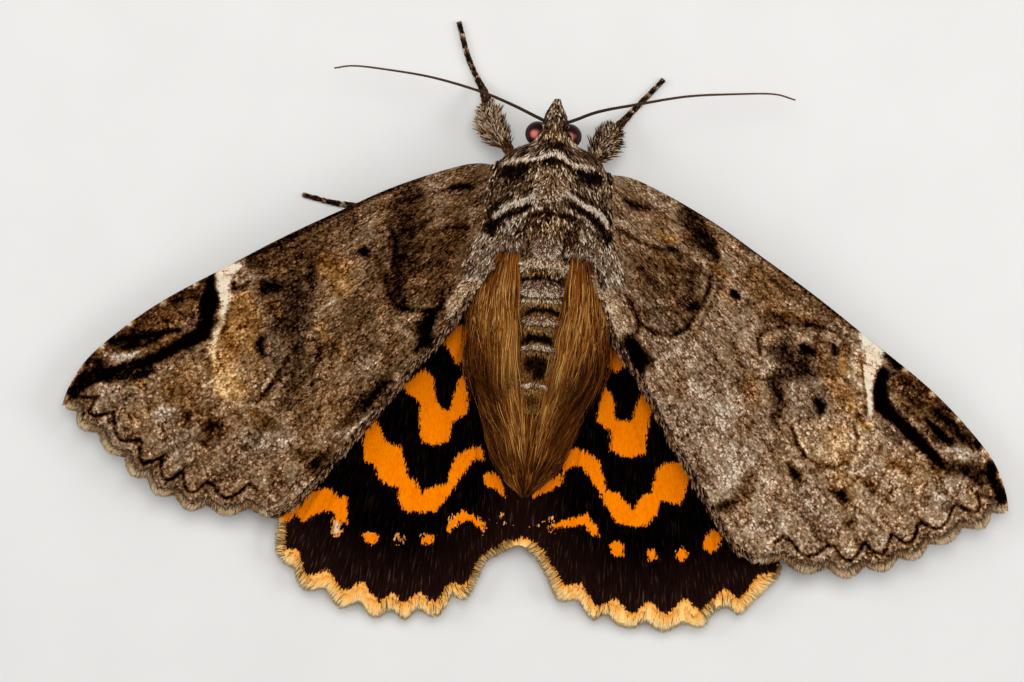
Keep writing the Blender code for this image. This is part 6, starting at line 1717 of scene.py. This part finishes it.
# Legs: thick scaled upper joints and thin feet of five joints, dark with a cream ring at the end
# of each. The fore pair bears a thick brush of speckled grey-tan scales.
LEG_ROUTES = {
    "leg_fore_left": (
        (2.45, -2.75, 2.35), (3.2, -3.85, 1.95), (4.3, -5.9, 1.35), (4.75, -7, 0.55),
        (5.3, -7.9, 0.16), (5.95, -9.2, 0.16), (6.65, -11.2, 0.14)),
    "leg_fore_right": (
        (-2.45, -2.75, 2.35), (-2.9, -3.55, 1.95), (-3.6, -4.85, 1.35), (-4.2, -5.7, 0.55),
        (-4.75, -6.4, 0.16), (-5.45, -7.25, 0.16), (-6.6, -8.65, 0.14)),
    "leg_mid_left": (
        (2.55, 0.2, 1.75), (5.2, -0.3, 2.15), (8.2, 0.3, 1.2), (10.6, 0.8, 0.5),
        (11.9, 0.95, 0.16), (13.6, 0.9, 0.16), (15.6, 0.55, 0.14)),
    "leg_mid_right": (
        (-2.55, 0.2, 1.75), (-4.9, 0.9, 2.15), (-7.4, 2.3, 1.2), (-9.2, 3.6, 0.5),
        (-10.2, 4.3, 0.16), (-11.6, 5.1, 0.16), (-13.2, 6, 0.14)),
    "leg_hind_left": (
        (2.05, 2.9, 1.6), (3.9, 5.2, 1.35), (5.2, 8.2, 0.95), (6, 10.2, 0.45),
        (6.4, 11.2, 0.16), (6.95, 12.7, 0.16), (7.6, 14.4, 0.14)),
    "leg_hind_right": (
        (-2.05, 2.9, 1.6), (-3.9, 5.2, 1.35), (-5.2, 8.2, 0.95), (-6, 10.2, 0.45),
        (-6.4, 11.2, 0.16), (-6.95, 12.7, 0.16), (-7.6, 14.4, 0.14)),
}
LEG_HALF = (0.30, 0.36, 0.34, 0.22, 0.15, 0.14, 0.11)
FOOT_RINGS = 5
BRUSH_COUNT = 2800
BRUSH_END = 0.38
BRUSH_SCALE = np.array((0.5, 1.0, 1.0, 0.8, 0.0))
BRUSH_REACH = {"leg_fore_left": (-0.40, 1.00), "leg_fore_right": (-0.75, 0.70)}
BRUSH_START = {"leg_fore_left": 0.08, "leg_fore_right": 0.02}
BRUSH_MIX = {"leg_fore_left": (0.27, 0.33, 0.40), "leg_fore_right": (0.46, 0.32, 0.22)}


def leg_tone(share):
    """Dark joints that end in cream: the rings sharpen over the foot, beyond half the leg."""
    joint = np.clip((share - 0.52) / 0.48, 0, 0.999) * FOOT_RINGS % 1
    ring = np.clip((joint - 0.72) / 0.1, 0, 1) * np.clip((1 - joint) / 0.08, 0, 1)
    light = np.where(share > 0.52, 0.16 + 0.62 * ring, 0.36 - 0.14 * np.clip(share / 0.5, 0, 1))
    return np.column_stack((light, 0.45 + 0 * share))


for name, route in LEG_ROUTES.items():
    line = smooth_line(np.column_stack((route, LEG_HALF)), 150)
    scaled_limb(name + "_limb", line[:, :3], line[:, 3], 16, leg_tone, 900, 0.30, 0.044, 0.07, (name,))
    if "fore" not in name:
        continue
    start = BRUSH_START[name]
    at = draws.uniform(start, BRUSH_END, BRUSH_COUNT)
    root = read_at(line, at * (len(line) - 1))[:, :3]
    ahead = line[60, :3] - line[20, :3]
    ahead /= np.linalg.norm(ahead)
    across = np.cross(ahead, (0, 0, 1))
    across *= np.sign(across[0] * route[2][0]) / np.linalg.norm(across)
    fan = draws.uniform(-1, 1, BRUSH_COUNT)
    low, high = BRUSH_REACH[name]
    broad = np.sqrt(np.clip(np.sin(math.pi * (at - start) / (BRUSH_END - start)), 0.03, 1))
    root += ((low + (high - low) * (0.5 + 0.5 * fan)) * broad)[:, None] * across
    root[:, 2] += (0.55 * np.sqrt(1 - fan ** 2) * draws.choice((-0.8, 1.0), BRUSH_COUNT)) * broad
    out = (0.35 * fan + draws.normal(0, 0.35, BRUSH_COUNT))[:, None] * across
    out = out + draws.uniform(-0.15, 0.45, BRUSH_COUNT)[:, None] * UP
    length = draws.uniform(0.30, 0.60, BRUSH_COUNT)
    t = np.linspace(0, 1, len(BRUSH_SCALE))[None, :, None]
    centres = root[:, None] + length[:, None, None] * (0.9 * t * ahead + t * out[:, None])
    centres[..., 2] = np.maximum(centres[..., 2], 0.02)
    tone = np.column_stack((draws.choice((0.08, 0.54, 0.86), BRUSH_COUNT, p=BRUSH_MIX[name]),
                            np.full(BRUSH_COUNT, 0.30)))
    new_coat(name + "_brush", centres, UP, 0.032, 0.014, BRUSH_SCALE, tone,
             np.column_stack((0.5 + 0.5 * fan, at)), coat_scales)
